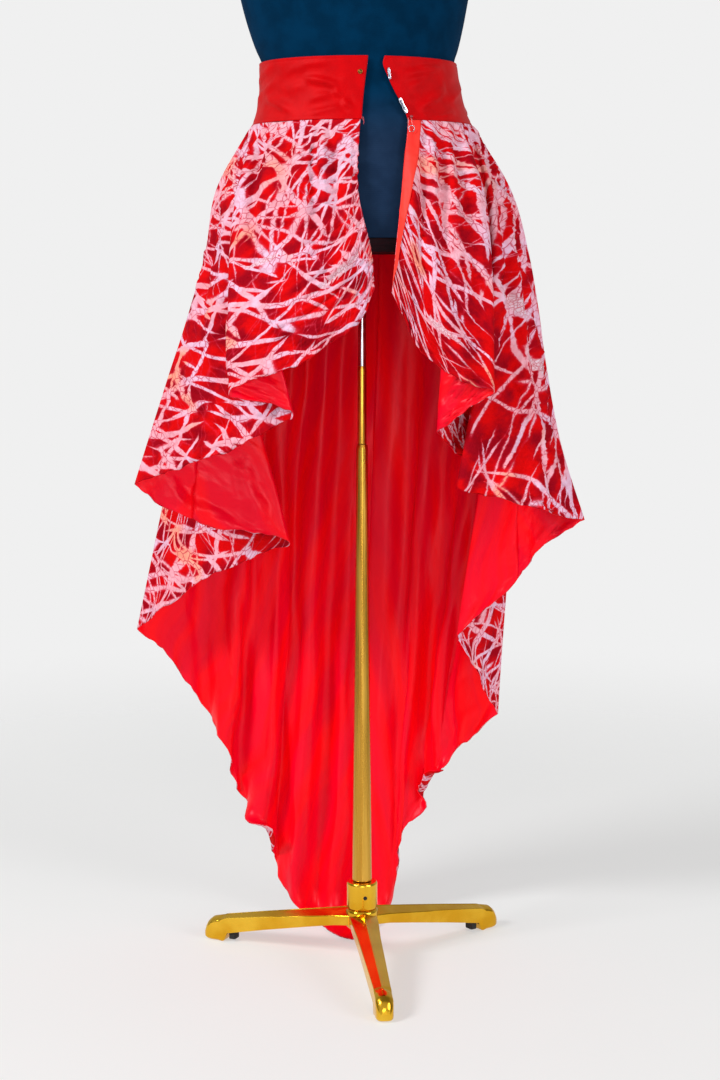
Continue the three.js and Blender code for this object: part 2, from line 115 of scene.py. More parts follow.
# Points that an edge or a fold's tip bows out to: x, y, z.
BOWS = {"left_front_edge": (-6, -128, 943), "right_fold_3": (233, -30, 650)}
TURN_BACK, TURN_WIDTH, TURN_SHARE = 4.0, 9.0, 0.2
PANELS = [
    ("front_left", "left_front_edge", "left_side_c"),
    ("back_left", "left_side_c", "train_3"),
    ("back_right", "train_3", "right_side_b"),
    ("front_right", "right_side_b", "right_front_edge"),
]
ROWS = 148
SPACING = 5.3
TURN_STEPS = 3


# ------------ curves and rings
def on_ring(ring, bearing, out, z):
    s, c = math.sin(math.radians(bearing)), math.cos(math.radians(bearing))
    depth = ring["front"] if c > 0 else ring["back"]
    radius = 1 / math.hypot(s / ring["half"], c / depth) + out
    return np.array([ring.get("centre", 0) - s * radius, -c * radius, z])


def smooth_curve(points, steps=120):
    """A centripetal Catmull-Rom curve through the points, as a fine polyline."""
    p = np.array(points, float)
    p = np.vstack([2 * p[0] - p[1], p, 2 * p[-1] - p[-2]])
    parts = []
    for k in range(len(p) - 3):
        p0, p1, p2, p3 = p[k:k + 4]
        d0, d1, d2 = (np.linalg.norm(b - a) ** 0.5 for a, b in ((p0, p1), (p1, p2), (p2, p3)))
        m1 = ((p1 - p0) / d0 - (p2 - p0) / (d0 + d1) + (p2 - p1) / d1) * d1
        m2 = ((p2 - p1) / d1 - (p3 - p1) / (d1 + d2) + (p3 - p2) / d2) * d1
        t = np.linspace(0, 1, steps + 1)[:, None]
        parts.append(hermite(p1, p2, m1, m2, t)[(1 if k else 0):])
    return np.vstack(parts)


def hermite(p1, p2, m1, m2, t):
    t2, t3 = t * t, t ** 3
    return (2 * t3 - 3 * t2 + 1) * p1 + (t3 - 2 * t2 + t) * m1 + (3 * t2 - 2 * t3) * p2 + (t3 - t2) * m2


def along(polyline, shares):
    """Points at these shares of a polyline's length."""
    step = np.linalg.norm(np.diff(polyline, axis=0), axis=1)
    run = np.concatenate([[0], np.cumsum(step)]) / step.sum()
    return np.stack([np.interp(shares, run, polyline[:, i]) for i in range(3)], 1)


def smoothstep(x, low, high):
    t = np.clip((np.asarray(x, float) - low) / (high - low), 0, 1)
    return t * t * (3 - 2 * t)


# ------------ middle surface of the skirt
share = np.linspace(0, 1, ROWS)
share = share - 0.06 * np.sin(2 * np.pi * share)


def line_points(row):
    name, seam, hip, out, hem_x, hem_y, hem_z, puff, _ = row
    start = on_ring(SEAM_RING, seam, 0, SEAM_Z - SEAM_GAP / 2)
    below = on_ring(HIP_RING, hip, out, HIP_Z)
    middle = (start + below) / 2
    outward = middle * [1, 1, 0] / np.hypot(middle[0], middle[1])
    middle = middle + outward * puff
    middle[2] = PUFF_Z
    points = [start, middle, below]
    bow = BOWS.get(name)
    if bow and bow[2] > HIP_Z:
        points = [start, bow, below]
    elif bow:
        points.append(bow)
    hem = np.array([hem_x, hem_y, hem_z], float)
    if name not in LANDINGS:
        level = LANDING_SHARES[0]
        shares = np.interp(share, [0, level, 1], [0, BESIDE_LANDING.get(name, level), 1])
        return along(smooth_curve(points + [hem]), shares)
    x, y = LANDINGS[name]
    hanging = smooth_curve(points + [(x, y, BEND_Z)])
    bend = [hanging[-1], (x, y - BEND_BACK, BEND_END_Z), hem]
    rest = smooth_curve([hanging[-40]] + bend, 60)[60:]
    first, second = LANDING_SHARES
    bent, run = rest[:61], rest[60:]
    place = [
        along(hanging, share[share < first] / first),
        along(bent, (share[(share >= first) & (share < second)] - first) / (second - first)),
        along(run, (share[share >= second] - second) / (1 - second)),
    ]
    return np.vstack(place)


line_rows = [line_points(row) for row in LINES]


def unit(v):
    return v / np.maximum(np.linalg.norm(v, axis=-1, keepdims=True), 1e-9)


def turn_points(before, tip, after):
    u, v = before - tip, after - tip
    most = TURN_SHARE * np.minimum(np.linalg.norm(u, axis=1), np.linalg.norm(v, axis=1))[:, None]
    u, v = unit(u), unit(v)
    apart = unit(u - v)
    tight = (1 + (u * v).sum(1, keepdims=True)) / 2
    half = np.minimum(TURN_WIDTH / 2, most) * tight
    back = np.minimum(TURN_BACK, most)
    return tip + u * back + apart * half, tip + v * back - apart * half


controls = []                   # name, points, whether the next one is in the same turn
for k, row in enumerate(LINES):
    if row[8]:
        before, after = turn_points(line_rows[k - 1], line_rows[k], line_rows[k + 1])
        controls += [(row[0] + "_before", before, True), (row[0], line_rows[k], True),
                     (row[0] + "_after", after, False)]
    else:
        controls.append((row[0], line_rows[k], False))

columns, column_of = [], {}
for k, (name, points, close) in enumerate(controls):
    column_of[name] = len(columns)
    columns.append(points)
    if k == len(controls) - 1:
        break
    p0 = controls[max(k - 1, 0)][1]
    p1, p2 = points, controls[k + 1][1]
    p3 = controls[min(k + 2, len(controls) - 1)][1]
    reach = np.linalg.norm(p2 - p1, axis=1, keepdims=True)

    def tangent(a, b, c):
        whole = (np.linalg.norm(b - a, axis=1, keepdims=True)
                 + np.linalg.norm(c - b, axis=1, keepdims=True))
        return (c - a) * reach / np.maximum(whole, 1e-6)

    m1, m2 = tangent(p0, p1, p2), tangent(p1, p2, p3)
    steps = TURN_STEPS if close else int(np.clip(math.ceil(reach.max() / SPACING), 3, 26))
    for s in range(1, steps):
        columns.append(hermite(p1, p2, m1, m2, s / steps))
grid = np.array(columns)        # [column][row][xyz]
n_columns = len(grid)


def normals_of(g):
    across = np.gradient(g, axis=0)
    down = np.gradient(g, axis=1)
    return unit(np.cross(across, down))


def measured(g):
    """Cloth coordinates in millimetres: across from the back's middle, and down from the seam."""
    step = np.linalg.norm(np.diff(g, axis=1), axis=2)
    down = np.concatenate([np.zeros((len(g), 1)), np.cumsum(step, axis=1)], 1)
    step = np.linalg.norm(np.diff(g, axis=0), axis=2)
    across = np.concatenate([np.zeros((1, g.shape[1])), np.cumsum(step, axis=0)], 0)
    middle = column_of["train_3"]
    return across - across[middle], down


across_mm, down_mm = measured(grid)
tips = [column_of[row[0]] for row in LINES if row[8]]
line_columns = np.array([column_of[row[0]] for row in LINES])
line_place = np.interp(np.arange(n_columns), line_columns, np.arange(len(LINES)))


def column_at(line):
    return np.interp(line, np.arange(len(LINES)), line_columns)


def row_at(at_share):
    return np.interp(at_share, share, np.arange(ROWS))


# Gathers: uneven small pleats that open just below the seam and die out towards the hip.
seam_run = np.concatenate([[0], np.cumsum(np.linalg.norm(np.diff(grid[:, 0], axis=0), axis=1))])
gather_phase = seam_run / 15 + 0.35 * np.sin(seam_run / 23) + 0.22 * np.sin(seam_run / 9.7 + 1)
gather_size = 2.3 + 0.9 * np.sin(seam_run / 41 + 0.6)
gathers = (np.cos(2 * np.pi * gather_phase) * gather_size)[:, None]
gather_reach = (75 + 28 * np.sin(seam_run / 31))[:, None]
gathers = gathers * np.minimum(down_mm / 10, 1) * np.exp(-down_mm / gather_reach)
ends = np.minimum(np.arange(n_columns), np.arange(n_columns)[::-1])
gathers *= smoothstep(ends, 0, 6)[:, None]
grid = grid + normals_of(grid) * gathers[..., None]
normals = normals_of(grid)


# ------------ creases placed one by one
BACK_LINES = (11, 29)                   # a crease between these lines reaches further sideways
BACK_SPREAD, FRONT_SPREAD = 2.4, 0.8    # how many lines past its spots a crease can reach
EDGE_FADE = 0.35                        # and the lines over which it fades there
TAPER = 0.25                            # share of a crease's length that fades at each end


def lay_crease(height, spots, depth, width):
    """Adds one crease: spots are (line, share of its length), depth is out of the cloth."""
    lines_, shares_ = np.transpose(spots)
    t = np.linspace(0, 1, 14)
    knots = np.linspace(0, 1, len(spots))
    col, row = column_at(np.interp(t, knots, lines_)), row_at(np.interp(t, knots, shares_))
    c0 = np.clip(np.floor(col).astype(int), 0, n_columns - 2)
    r0 = np.clip(np.floor(row).astype(int), 0, ROWS - 2)
    u, v = (col - c0)[:, None], (row - r0)[:, None]
    path = ((grid[c0, r0] * (1 - u) + grid[c0 + 1, r0] * u) * (1 - v)
            + (grid[c0, r0 + 1] * (1 - u) + grid[c0 + 1, r0 + 1] * u) * v)
    spread = BACK_SPREAD if BACK_LINES[0] < lines_.mean() < BACK_LINES[1] else FRONT_SPREAD
    low_line, high_line = max(lines_.min() - spread, 0), min(lines_.max() + spread, len(LINES) - 1)
    lo, hi = int(column_at(low_line)), int(column_at(high_line)) + 1
    block = grid[lo:hi].reshape(-1, 3)
    best, where = np.full(len(block), 1e9), np.zeros(len(block))
    for i in range(len(path) - 1):
        a, d = path[i], path[i + 1] - path[i]
        s = np.clip((block - a) @ d / max(d @ d, 1e-9), 0, 1)
        gap = np.linalg.norm(block - a - s[:, None] * d, axis=1)
        closer = gap < best
        best[closer], where[closer] = gap[closer], ((i + s) / (len(path) - 1))[closer]
    fade = smoothstep(where, 0, TAPER) * smoothstep(1 - where, 0, TAPER)
    shape_ = np.exp(-(best / width) ** 2) - 0.3 * np.exp(-((best - 1.9 * width) / (0.9 * width)) ** 2)
    place, inside = line_place[lo:hi], np.ones(hi - lo)
    if low_line > 0:
        inside *= smoothstep(place, low_line, low_line + EDGE_FADE)
    if high_line < len(LINES) - 1:
        inside *= smoothstep(-place, -high_line, EDGE_FADE - high_line)
    height[lo:hi] += (depth * fade * shape_).reshape(hi - lo, ROWS) * inside[:, None]


CREASES = [     # depth out of the cloth, width, then the line and share of each spot
    # left front: the deep valley beside the front panel, pleats from the seam, slanting creases
    (-5.5, 6, 2.8, 0.03, 2.7, 0.16, 2.64, 0.31, 2.62, 0.45, 2.6, 0.6),
    (4.5, 11, 2.5, 0.03, 2.42, 0.29, 2.3, 0.58),
    (2.0, 4, 2.94, 0.05, 2.9, 0.2, 2.86, 0.4),
    (-3.0, 8, 2.3, 0.03, 2.2, 0.34, 2.05, 0.62),
    (3.0, 8, 2, 0.03, 1.95, 0.3, 1.85, 0.55),
    (-3.0, 7, 1.82, 0.04, 1.71, 0.31, 1.53, 0.63),
    (3.0, 7, 1.5, 0.03, 1.46, 0.25, 1.4, 0.48),
    (-3.6, 6, 1.24, 0.04, 1.24, 0.29, 1.12, 0.54),
    (2.8, 7, 0.85, 0.04, 0.8, 0.3, 0.75, 0.5),
    (-2.4, 6, 0.45, 0.1, 0.42, 0.4, 0.35, 0.62),
    (-3.4, 6, 1.18, 0.65, 0.62, 0.83, 1.12, 0.92),
    (-3.2, 6, 1.94, 0.52, 1.47, 0.65, 1.41, 0.78),
    (3.0, 7, 1.75, 0.6, 1.25, 0.7, 0.7, 0.7),
    (3.6, 9, 2.55, 0.7, 2.1, 0.86, 1.53, 0.98),
    (-3.4, 7, 2.45, 0.83, 2, 0.95, 1.65, 0.98),
    (-3.0, 7, 2.35, 0.6, 1.9, 0.74, 1.6, 0.88),
    (-2.6, 6, 0.9, 0.6, 0.5, 0.72, 0.15, 0.74),
    (3.0, 8, 2.95, 0.71, 2.9, 0.84, 2.96, 0.96),
    # left side: long slanting folds towards the hem
    (-5.0, 9, 6.67, 0.76, 5.47, 0.91, 4.6, 0.97),
    (4.5, 9, 6.61, 0.67, 5.87, 0.77, 5.27, 0.84),
    (-4.0, 8, 6.72, 0.9, 5.93, 0.93, 5.07, 0.93),
    (4.0, 9, 5.3, 0.25, 5.45, 0.45, 5.6, 0.68),
    (-4.0, 8, 6.2, 0.2, 6.3, 0.45, 6.15, 0.66),
    (3.0, 7, 6.65, 0.3, 6.6, 0.5, 6.66, 0.7),
    (-3.5, 8, 5.1, 0.6, 5.45, 0.74, 5.6, 0.88),
    # right front: long upright pleats
    (-4.6, 6, 43.5, 0.04, 43.19, 0.36, 43.19, 0.59, 42.82, 0.8),
    (3.0, 6, 43.75, 0.06, 43.62, 0.36, 43.6, 0.6),
    (3.6, 6, 42.82, 0.03, 42.82, 0.22, 42.91, 0.41),
    (-5.0, 6, 42.36, 0.04, 42.55, 0.34, 42.45, 0.58, 42, 0.78),
    (-4.2, 6, 41.73, 0.04, 41.91, 0.25, 41.73, 0.44),
    (3.6, 6, 42.1, 0.05, 42.2, 0.3, 42.1, 0.52),
    (3.0, 6, 41.45, 0.1, 41.5, 0.35, 41.4, 0.7),
    (-3.2, 6, 43.88, 0.73, 43.31, 0.8, 42.82, 0.87),
    (3.8, 8, 42.64, 0.7, 42.18, 0.84, 41.82, 0.95),
    (-3.0, 6, 43.2, 0.86, 42.6, 0.9, 42.1, 0.98),
    # right side: upright crinkles
    (-5.0, 7, 36, 0.17, 36.07, 0.38, 35.58, 0.56),
    (-4.6, 7, 34.75, 0.3, 34.92, 0.54, 34.83, 0.71),
    (-5.0, 7, 36.14, 0.56, 35.67, 0.73, 35.33, 0.9),
    (4.2, 7, 36.36, 0.7, 35.92, 0.87, 35.83, 0.97),
    (4.0, 7, 34.5, 0.5, 34.58, 0.7, 34.58, 0.88),
    (-4.6, 7, 35.42, 0.74, 35, 0.87, 34.75, 0.98),
    (-4.0, 7, 36.64, 0.8, 36.36, 0.9, 36.21, 0.98),
    (4.0, 7, 35.6, 0.2, 35.45, 0.42, 35.2, 0.66),
    (3.6, 7, 36.6, 0.25, 36.55, 0.5, 36.6, 0.72),
    # back, read from the inside: the long grooves that show dark, and the ridges between
    (5.0, 12, 16.1, 0.3, 16.6, 0.45, 17.25, 0.57, 17.67, 0.74, 17.8, 0.86, 17.83, 0.94),
    (5.0, 13, 18.52, 0.36, 19.08, 0.5, 19, 0.63, 19.54, 0.77, 19.62, 0.86),
    (4.0, 12, 19.9, 0.28, 20.24, 0.54, 20.43, 0.72),
    (3.0, 13, 22.6, 0.3, 22.91, 0.5, 23.2, 0.68, 23.4, 0.8),
    (5.0, 13, 24.6, 0.42, 25.55, 0.6, 25.65, 0.76),
    (5.0, 14, 15.3, 0.45, 15.67, 0.61, 15.73, 0.81, 16.1, 0.94),
    (5.0, 10, 14.3, 0.6, 15.13, 0.76, 15.13, 0.92),
    (4.0, 13, 24.1, 0.45, 24.9, 0.76, 25.33, 0.9),
    (5.0, 10, 26.2, 0.6, 26.56, 0.81, 26.22, 0.95),
    (4.0, 10, 12.1, 0.7, 12.71, 0.88, 13.27, 0.98),
    (5.0, 10, 13.2, 0.6, 13.53, 0.8, 14.29, 0.96),
    (-3.0, 14, 17.42, 0.35, 18, 0.6, 18.78, 0.88),
    (-4.5, 13, 21.1, 0.31, 21.43, 0.56, 21.78, 0.84),
    (-1.5, 13, 23.9, 0.37, 24.3, 0.61, 24.4, 0.78),
    (-4.0, 9, 32.2, 0.8, 31.75, 0.94),
    (6.0, 11, 28.2, 0.3, 28.1, 0.6, 27.9, 0.9),
    (5.0, 10, 11.6, 0.3, 11.7, 0.6, 12.2, 0.85),
    # turned-up linings beside the front
    (4.5, 10, 7.6, 0.9, 8.07, 0.93, 8.56, 0.97),
    (-2.0, 10, 7.45, 0.96, 7.95, 0.97, 8.4, 0.985),
    (-4.0, 9, 8.56, 0.8, 8.59, 0.89, 8.74, 0.97),
    (4.0, 8, 40.15, 0.88, 40.43, 0.95, 40.71, 0.98),
    (4.0, 8, 38.3, 0.6, 38.45, 0.8, 38.4, 0.97),
]
height = np.zeros(grid.shape[:2])
for depth, width, *spots in CREASES:
    lay_crease(height, np.reshape(spots, (-1, 2)), depth, width)


# Fine crumple of the cotton: ridged waves in many directions, seeded.
def crumple(seed, count, wave_low, wave_high, lean, spread, sharp):
    rng = np.random.default_rng(seed)
    total = np.zeros(grid.shape[:2])
    for _ in range(count):
        wave = rng.uniform(wave_low, wave_high)
        angle = math.radians(lean + rng.normal() * spread)
        phase, bend = rng.uniform(0, 2 * np.pi, 2)
        x, y = across_mm, down_mm
        slant = x * math.sin(angle + 1.3) + y * math.cos(angle + 1.3)
        warp = 1.1 * np.sin(slant / (wave * 0.9) + bend)
        s = np.sin(2 * np.pi * (x * math.cos(angle) + y * math.sin(angle)) / wave + phase + warp)
        total += (1.1 - 2 * np.sqrt(s * s + 0.1)) if sharp else s
    return total / math.sqrt(count)


front = (1 - smoothstep(line_place, 7, 10) + smoothstep(line_place, 31, 33))[:, None]
right_front = smoothstep(line_place, 31, 34)[:, None]
fine = crumple(11, 14, 17, 36, 10, 60, True) * 1.15 + crumple(12, 10, 45, 90, 5, 30, False) * 1.4
tall = crumple(13, 12, 16, 32, 2, 14, True) * 1.6
soft = crumple(14, 10, 60, 130, 0, 18, False) * 2.6
rumple = front * (fine + right_front * tall) + (1 - front) * (soft + fine * 0.25)
tip_gap = np.min(np.abs(np.arange(n_columns)[:, None] - np.array(tips)[None, :]), axis=1)
right_gap = across_mm[-1:] - across_mm
calm = (smoothstep(tip_gap, 1, 7)[:, None] * (0.12 + 0.88 * smoothstep(right_gap, 12, 34))
        * smoothstep(down_mm, 5, 40) * smoothstep(grid[..., 2], 30, 90))
calm *= 1 - 0.4 * smoothstep(line_place, 41.5, 43)[:, None] * smoothstep(share, 0.55, 0.8)
height += rumple * calm

# Ripples of the hem, which die out a few centimetres above it.
hem_gap = down_mm[:, -1:] - down_mm
run = across_mm[:, -1:]
ripple = (np.sin(run / 5.3 + 1.4 * np.sin(run / 17)) * (0.7 + 0.6 * np.sin(run / 37))
          + 0.8 * np.sin(run / 11.7 + 2))
ripple = ((ripple + 1.3 * np.sin(run / 8.3 + 0.9 * np.sin(run / 29))) * np.exp(-hem_gap / 20)
          * smoothstep(tip_gap, 1, 6)[:, None] * smoothstep(ends, 4, 14)[:, None])
height += 1.5 * ripple * smoothstep(grid[..., 2], 12, 60)
grid = grid + normals * height[..., None]
scallop = (np.sin(run / 4.6 + 1.7 * np.sin(run / 13)) + 0.8 * np.sin(run / 9.1 + 1)
           + 1.6 * np.sin(run / 13.7 + 2)) * np.exp(-hem_gap / 14)
scallop *= smoothstep(ends, 2, 8)[:, None] * smoothstep(grid[:, -1:, 2], 10, 50)
grid = grid + unit(np.gradient(grid, axis=1)) * scallop[..., None]


# Where the hem curls up towards the inside and shows the print: line from, line to, strength.
CURLS = ((24.2, 26.8, 0.9), (15.3, 16.8, 0.8))
CURL_LENGTH = 20.0
curl = np.zeros(n_columns)
for start, end, strength in CURLS:
    swell = smoothstep(line_place, start, start + 0.7) * smoothstep(-line_place, -end, -end + 0.7)
    curl = np.maximum(curl, strength * swell * (0.9 + 0.1 * np.sin(run[:, 0] / 7.0)))
bent_normals, down_way = normals_of(grid), unit(np.gradient(grid, axis=1))
for i in np.where(curl > 0.02)[0]:
    past = CURL_LENGTH - hem_gap[i]
    first = int(np.argmax(past > 0))
    radius = CURL_LENGTH / (2.9 * curl[i])
    pivot, down, out = grid[i, first - 1].copy(), down_way[i, first - 1], bent_normals[i, first - 1]
    angle = np.clip((past[first - 1:] - past[first - 1]) / radius, 0, None)[:, None]
    grid[i, first - 1:] = pivot + down * radius * np.sin(angle) - out * radius * (1 - np.cos(angle))
normals = normals_of(grid)


# ------------ clear of the form
FORM_ROWS = [   # z, centre x, half width, front, back
    (883.3, 0, 155, 117, 121), (915, 0, 152, 116, 119), (940, 0, 146.5, 113, 114),
    (965, 0, 140, 109, 108), (990, 0, 131.5, 103.5, 101.5), (1015, 0, 123, 98.5, 96.5),
    (1040, -1.5, 115.8, 94.2, 92.2), (1066, -3, 112.4, 92, 90), (1086, -5, 112.2, 92, 89.8),
    (1100, -6, 117.6, 95.5, 91), (1125, -7.5, 125, 100, 92.5), (1160, -9, 133, 106, 95),
    (1215, -9, 143, 115, 98), (1275, -9, 149, 117, 100), (1330, -9, 158, 108, 98),
    (1372, -9, 164, 90, 88), (1398, -9, 150, 76, 78), (1420, -9, 112, 64, 68),
    (1438, -9, 74, 55, 60), (1456, -9, 57, 51, 54), (1500, -9, 53, 48, 50),
]


def smooth_rows(rows, values):
    """Smooth values of a table's columns at these values of its first column."""
    t = np.array(rows, float)
    x = t[:, 0]
    slope = np.gradient(t, x, axis=0)
    k = np.clip(np.searchsorted(x, values, side="right") - 1, 0, len(x) - 2)
    h = (x[k + 1] - x[k])[:, None]
    f = ((values - x[k])[:, None]) / h
    return hermite(t[k], t[k + 1], slope[k] * h, slope[k + 1] * h, f)


BAND_LOW, BAND_TOP = 1015.15, 1086.0
FORM_GAP, FORM_REACH = 2.0, 864.0       # clear space on the form, and where it starts to count


def ring_of(row):
    return {"centre": row[1], "half": row[2], "front": row[3], "back": row[4]}


def keep_off_form(g, gap):
    """Moves points that are less than this gap from the form out to it."""
    hit = (g[..., 2] > FORM_REACH) & (g[..., 2] < BAND_TOP)
    p = g[hit]
    _, centre, half, front_, back = smooth_rows(
        FORM_ROWS, np.clip(p[:, 2], FORM_ROWS[0][0], BAND_TOP)).T
    x, y = p[:, 0] - centre, p[:, 1]
    share_ = np.hypot(x / (half + gap), y / (np.where(y < 0, front_, back) + gap))
    grow = np.maximum(1 / np.maximum(share_, 0.2), 1)
    g[hit] = np.stack([centre + x * grow, y * grow, p[:, 2]], 1)


keep_off_form(grid, FORM_GAP)
normals = normals_of(grid)
for _ in range(2):
    padded = np.pad(normals, ((1, 1), (1, 1), (0, 0)), "edge")
    rows_ = padded[:-2] + 2 * padded[1:-1] + padded[2:]
    normals = unit(rows_[:, :-2] + 2 * rows_[:, 1:-1] + rows_[:, 2:])


# ------------ meshes
def quad_object(name, points, quads, uv):
    mesh = bpy.data.meshes.new(name)
    mesh.vertices.add(len(points))
    mesh.vertices.foreach_set("co", put(points).astype(np.float32).ravel())
    mesh.loops.add(quads.size)
    mesh.loops.foreach_set("vertex_index", quads.ravel().astype(np.int32))
    mesh.polygons.add(len(quads))
    mesh.polygons.foreach_set("loop_start", np.arange(0, quads.size, 4, dtype=np.int32))
    mesh.update(calc_edges=True)
    mesh.polygons.foreach_set("use_smooth", np.ones(len(quads), bool))
    layer = mesh.uv_layers.new(name="UVMap")
    layer.data.foreach_set("uv", uv[quads.ravel()].astype(np.float32).ravel())
    mesh.validate()
    mesh.update()
    obj = bpy.data.objects.new(name, mesh)
    scene.collection.objects.link(obj)
    return obj


def point_values(obj, name, values):
    """A number at each point of the outer grid, and again of the inner one."""
    attribute = obj.data.attributes.new(name, "FLOAT", "POINT")
    attribute.data.foreach_set("value", np.concatenate([values.ravel()] * 2).astype(np.float32))


def wall_object(name, outer, inner, uv_grid):
    """A thin closed sheet between two grids [column][row]; the outer one is away from the body."""
    nc, nr = outer.shape[:2]
    index = np.arange(nc * nr).reshape(nc, nr)
    a, b, c, d = index[:-1, :-1], index[:-1, 1:], index[1:, 1:], index[1:, :-1]
    size = nc * nr
    quads = [np.stack([a, d, c, b], -1).reshape(-1, 4),
             np.stack([a, b, c, d], -1).reshape(-1, 4) + size]
    for edge, flip in ((index[:, 0], False), (index[:, -1], True),
                       (index[0], True), (index[-1], False)):
        e, f = edge[:-1], edge[1:]
        q = np.stack([e, e + size, f + size, f], -1)
        quads.append(q[:, ::-1] if flip else q)
    uv = np.concatenate([uv_grid.reshape(-1, 2)] * 2)
    points = np.concatenate([outer.reshape(-1, 3), inner.reshape(-1, 3)])
    return quad_object(name, points, np.concatenate(quads), uv)


dressed = []                            # every piece, and the key of its material


def stand_in(obj, slot, node=None, look=None):
    """A piece of the part that stands for a solid, if node names one."""
    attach(obj, "root")
    if node:
        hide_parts(node)
    dressed.append((obj, look or slot))
    return obj


def layer(lo, hi, low, high):
    g, n = grid[lo:hi + 1].copy(), normals[lo:hi + 1].copy()
    n[:, 0, 2] = 0
    n[:, 0] = unit(n[:, 0])
    g[..., 2] = np.maximum(g[..., 2], FLOOR_Z)
    return [g + n * offset for offset in (high, low)]


# Where the print's strokes run mostly upright: 1 on the right front, less low on the left.
left_front = (1 - smoothstep(line_place, 8, 12))[:, None]
upright = 0.55 + 0.5 * right_front - 0.55 * left_front * smoothstep(down_mm, 90, 260)
# Where the print is densest and palest: line, share of its length, radius in millimetres.
DENSE_SPOTS = ((1.12, 0.73, 34), (42.55, 0.85, 24), (35.5, 0.49, 30), (2.45, 0.57, 16),
               (34.75, 0.62, 26), (17.0, 0.40, 40), (21.5, 0.62, 36), (29.0, 0.45, 34),
               (13.0, 0.70, 30))
dense = np.zeros(grid.shape[:2])
for line, at_share, radius in DENSE_SPOTS:
    col, row = int(round(column_at(line))), int(round(row_at(at_share)))
    gap = np.hypot(across_mm - across_mm[col, row], down_mm - down_mm[col, row])
    dense = np.maximum(dense, 1 - smoothstep(gap, 0.35 * radius, 1.25 * radius))
# Below 0 the strokes are thinner, as low on the right front.
low_right = smoothstep(line_place, 33, 36)[:, None] * smoothstep(down_mm, 150, 260)
low_left = (1 - smoothstep(line_place, 7, 9))[:, None] * smoothstep(down_mm, 150, 260)
dense = (dense + 0.22 * (1 - smoothstep(down_mm, 60, 150)) - 0.75 * low_right * (1 - dense)
         - 0.2 * low_left)
cloth_pieces = {}
for name, first, last in PANELS:
    lo, hi = column_of[first], column_of[last]
    u = across_mm[lo:hi + 1]
    centre = (u[:1] + u[-1:]) / 2
    uv = np.stack([(u - centre) * MM, -down_mm[lo:hi + 1] * MM], -1)
    half = SEAM_GAP / 2
    for kind, low, high in (("shell", half, half + SHELL), ("lining", -half - LINING, -half)):
        outer, inner = layer(lo, hi, low, high)
        obj = stand_in(wall_object(f"{kind}_cloth_{name}", outer, inner, uv),
                       "printed_cotton" if kind == "shell" else "red_lining", f"{kind}_{name}")
        point_values(obj, "upright", upright[lo:hi + 1])
        point_values(obj, "dense", dense[lo:hi + 1])
        cloth_pieces[obj] = name

# The narrow facing turned out along the right front edge: the last part of each row of the cloth.
FACING_WIDTH, FACING_STEPS = 14.0, 8
facing_rows = share < 0.97


def facing_grid(offset):
    wide = FACING_WIDTH * (1 - 0.62 * smoothstep(share, 0.35, 0.85)) * smoothstep(1 - share, 0.02, 0.2)
    out = []
    for j in np.where(facing_rows)[0]:
        run = across_mm[-1, j] - across_mm[-30:, j]
        at = np.linspace(wide[j] + 0.4, 0, FACING_STEPS + 1)
        both = np.concatenate([grid[-30:, j], normals[-30:, j]], 1)
        near = np.stack([np.interp(at, run[::-1], both[::-1, k]) for k in range(6)], 1)
        if j == 0:
            near[:, 5] = 0
        out.append(near[:, :3] + unit(near[:, 3:]) * offset)
    return np.swapaxes(np.array(out), 0, 1)


facing_low = SEAM_GAP + SHELL + 0.2
outer, inner = facing_grid(facing_low + FACING), facing_grid(facing_low)
uv = np.stack(np.broadcast_arrays(np.linspace(0, FACING_WIDTH * MM, FACING_STEPS + 1)[:, None],
                                  -down_mm[-1, facing_rows][None] * MM), -1)
facing = stand_in(wall_object("facing_cloth", outer, inner, uv), "coral_facing",
                  "facing_right_edge")


# ------------ waistband
BAND_ROWS = [   # z, centre x, half width, front, back, left end x, right end x
    (1015.15, 0, 127.4, 102.6, 100.6, -0.5, 51),
    (1031, -1, 121.4, 98.8, 96.4, 0.5, 45),
    (1047, -2, 118.0, 96.4, 94.2, 2, 36),
    (1064, -3, 115.6, 95.0, 92.8, 4, 28),
    (1080, -4.5, 114.2, 94.4, 92.2, 6, 23),
    (1086, -5, 113.8, 94.4, 92.2, 6.5, 25),
]
BAND_CREASES = [    # bearing and height of each end, depth, width
    (12, 1052, 40, 1066, 1.0, 4), (8, 1040, 34, 1030, -0.9, 4), (20, 1072, 52, 1060, -0.7, 5),
    (44, 1026, 70, 1046, 0.8, 5), (60, 1070, 88, 1052, -0.8, 5), (6, 1026, 18, 1050, 0.7, 3.5),
    (322, 1030, 300, 1052, 1.3, 4), (326, 1044, 306, 1062, -1.0, 3.5), (330, 1066, 300, 1076, 0.8, 4),
    (316, 1022, 296, 1036, -1.0, 4), (300, 1040, 276, 1060, 0.9, 5), (110, 1030, 140, 1056, 0.8, 6),
    (150, 1070, 186, 1048, -0.9, 6), (196, 1028, 224, 1050, 0.8, 6), (232, 1070, 262, 1044, -0.8, 6),
    (166, 1024, 200, 1036, 0.7, 5), (98, 1066, 124, 1078, 0.6, 5), (246, 1024, 272, 1034, 0.7, 5),
]


def band_point(r, x, out):
    return x, -(r[3] + out) * math.sqrt(1 - ((x - r[1]) / (r[2] + out)) ** 2)


BAND_COLUMNS, BAND_STEPS = 340, 38
EDGE_ROUND = 1.4                        # radius of the band's long edges


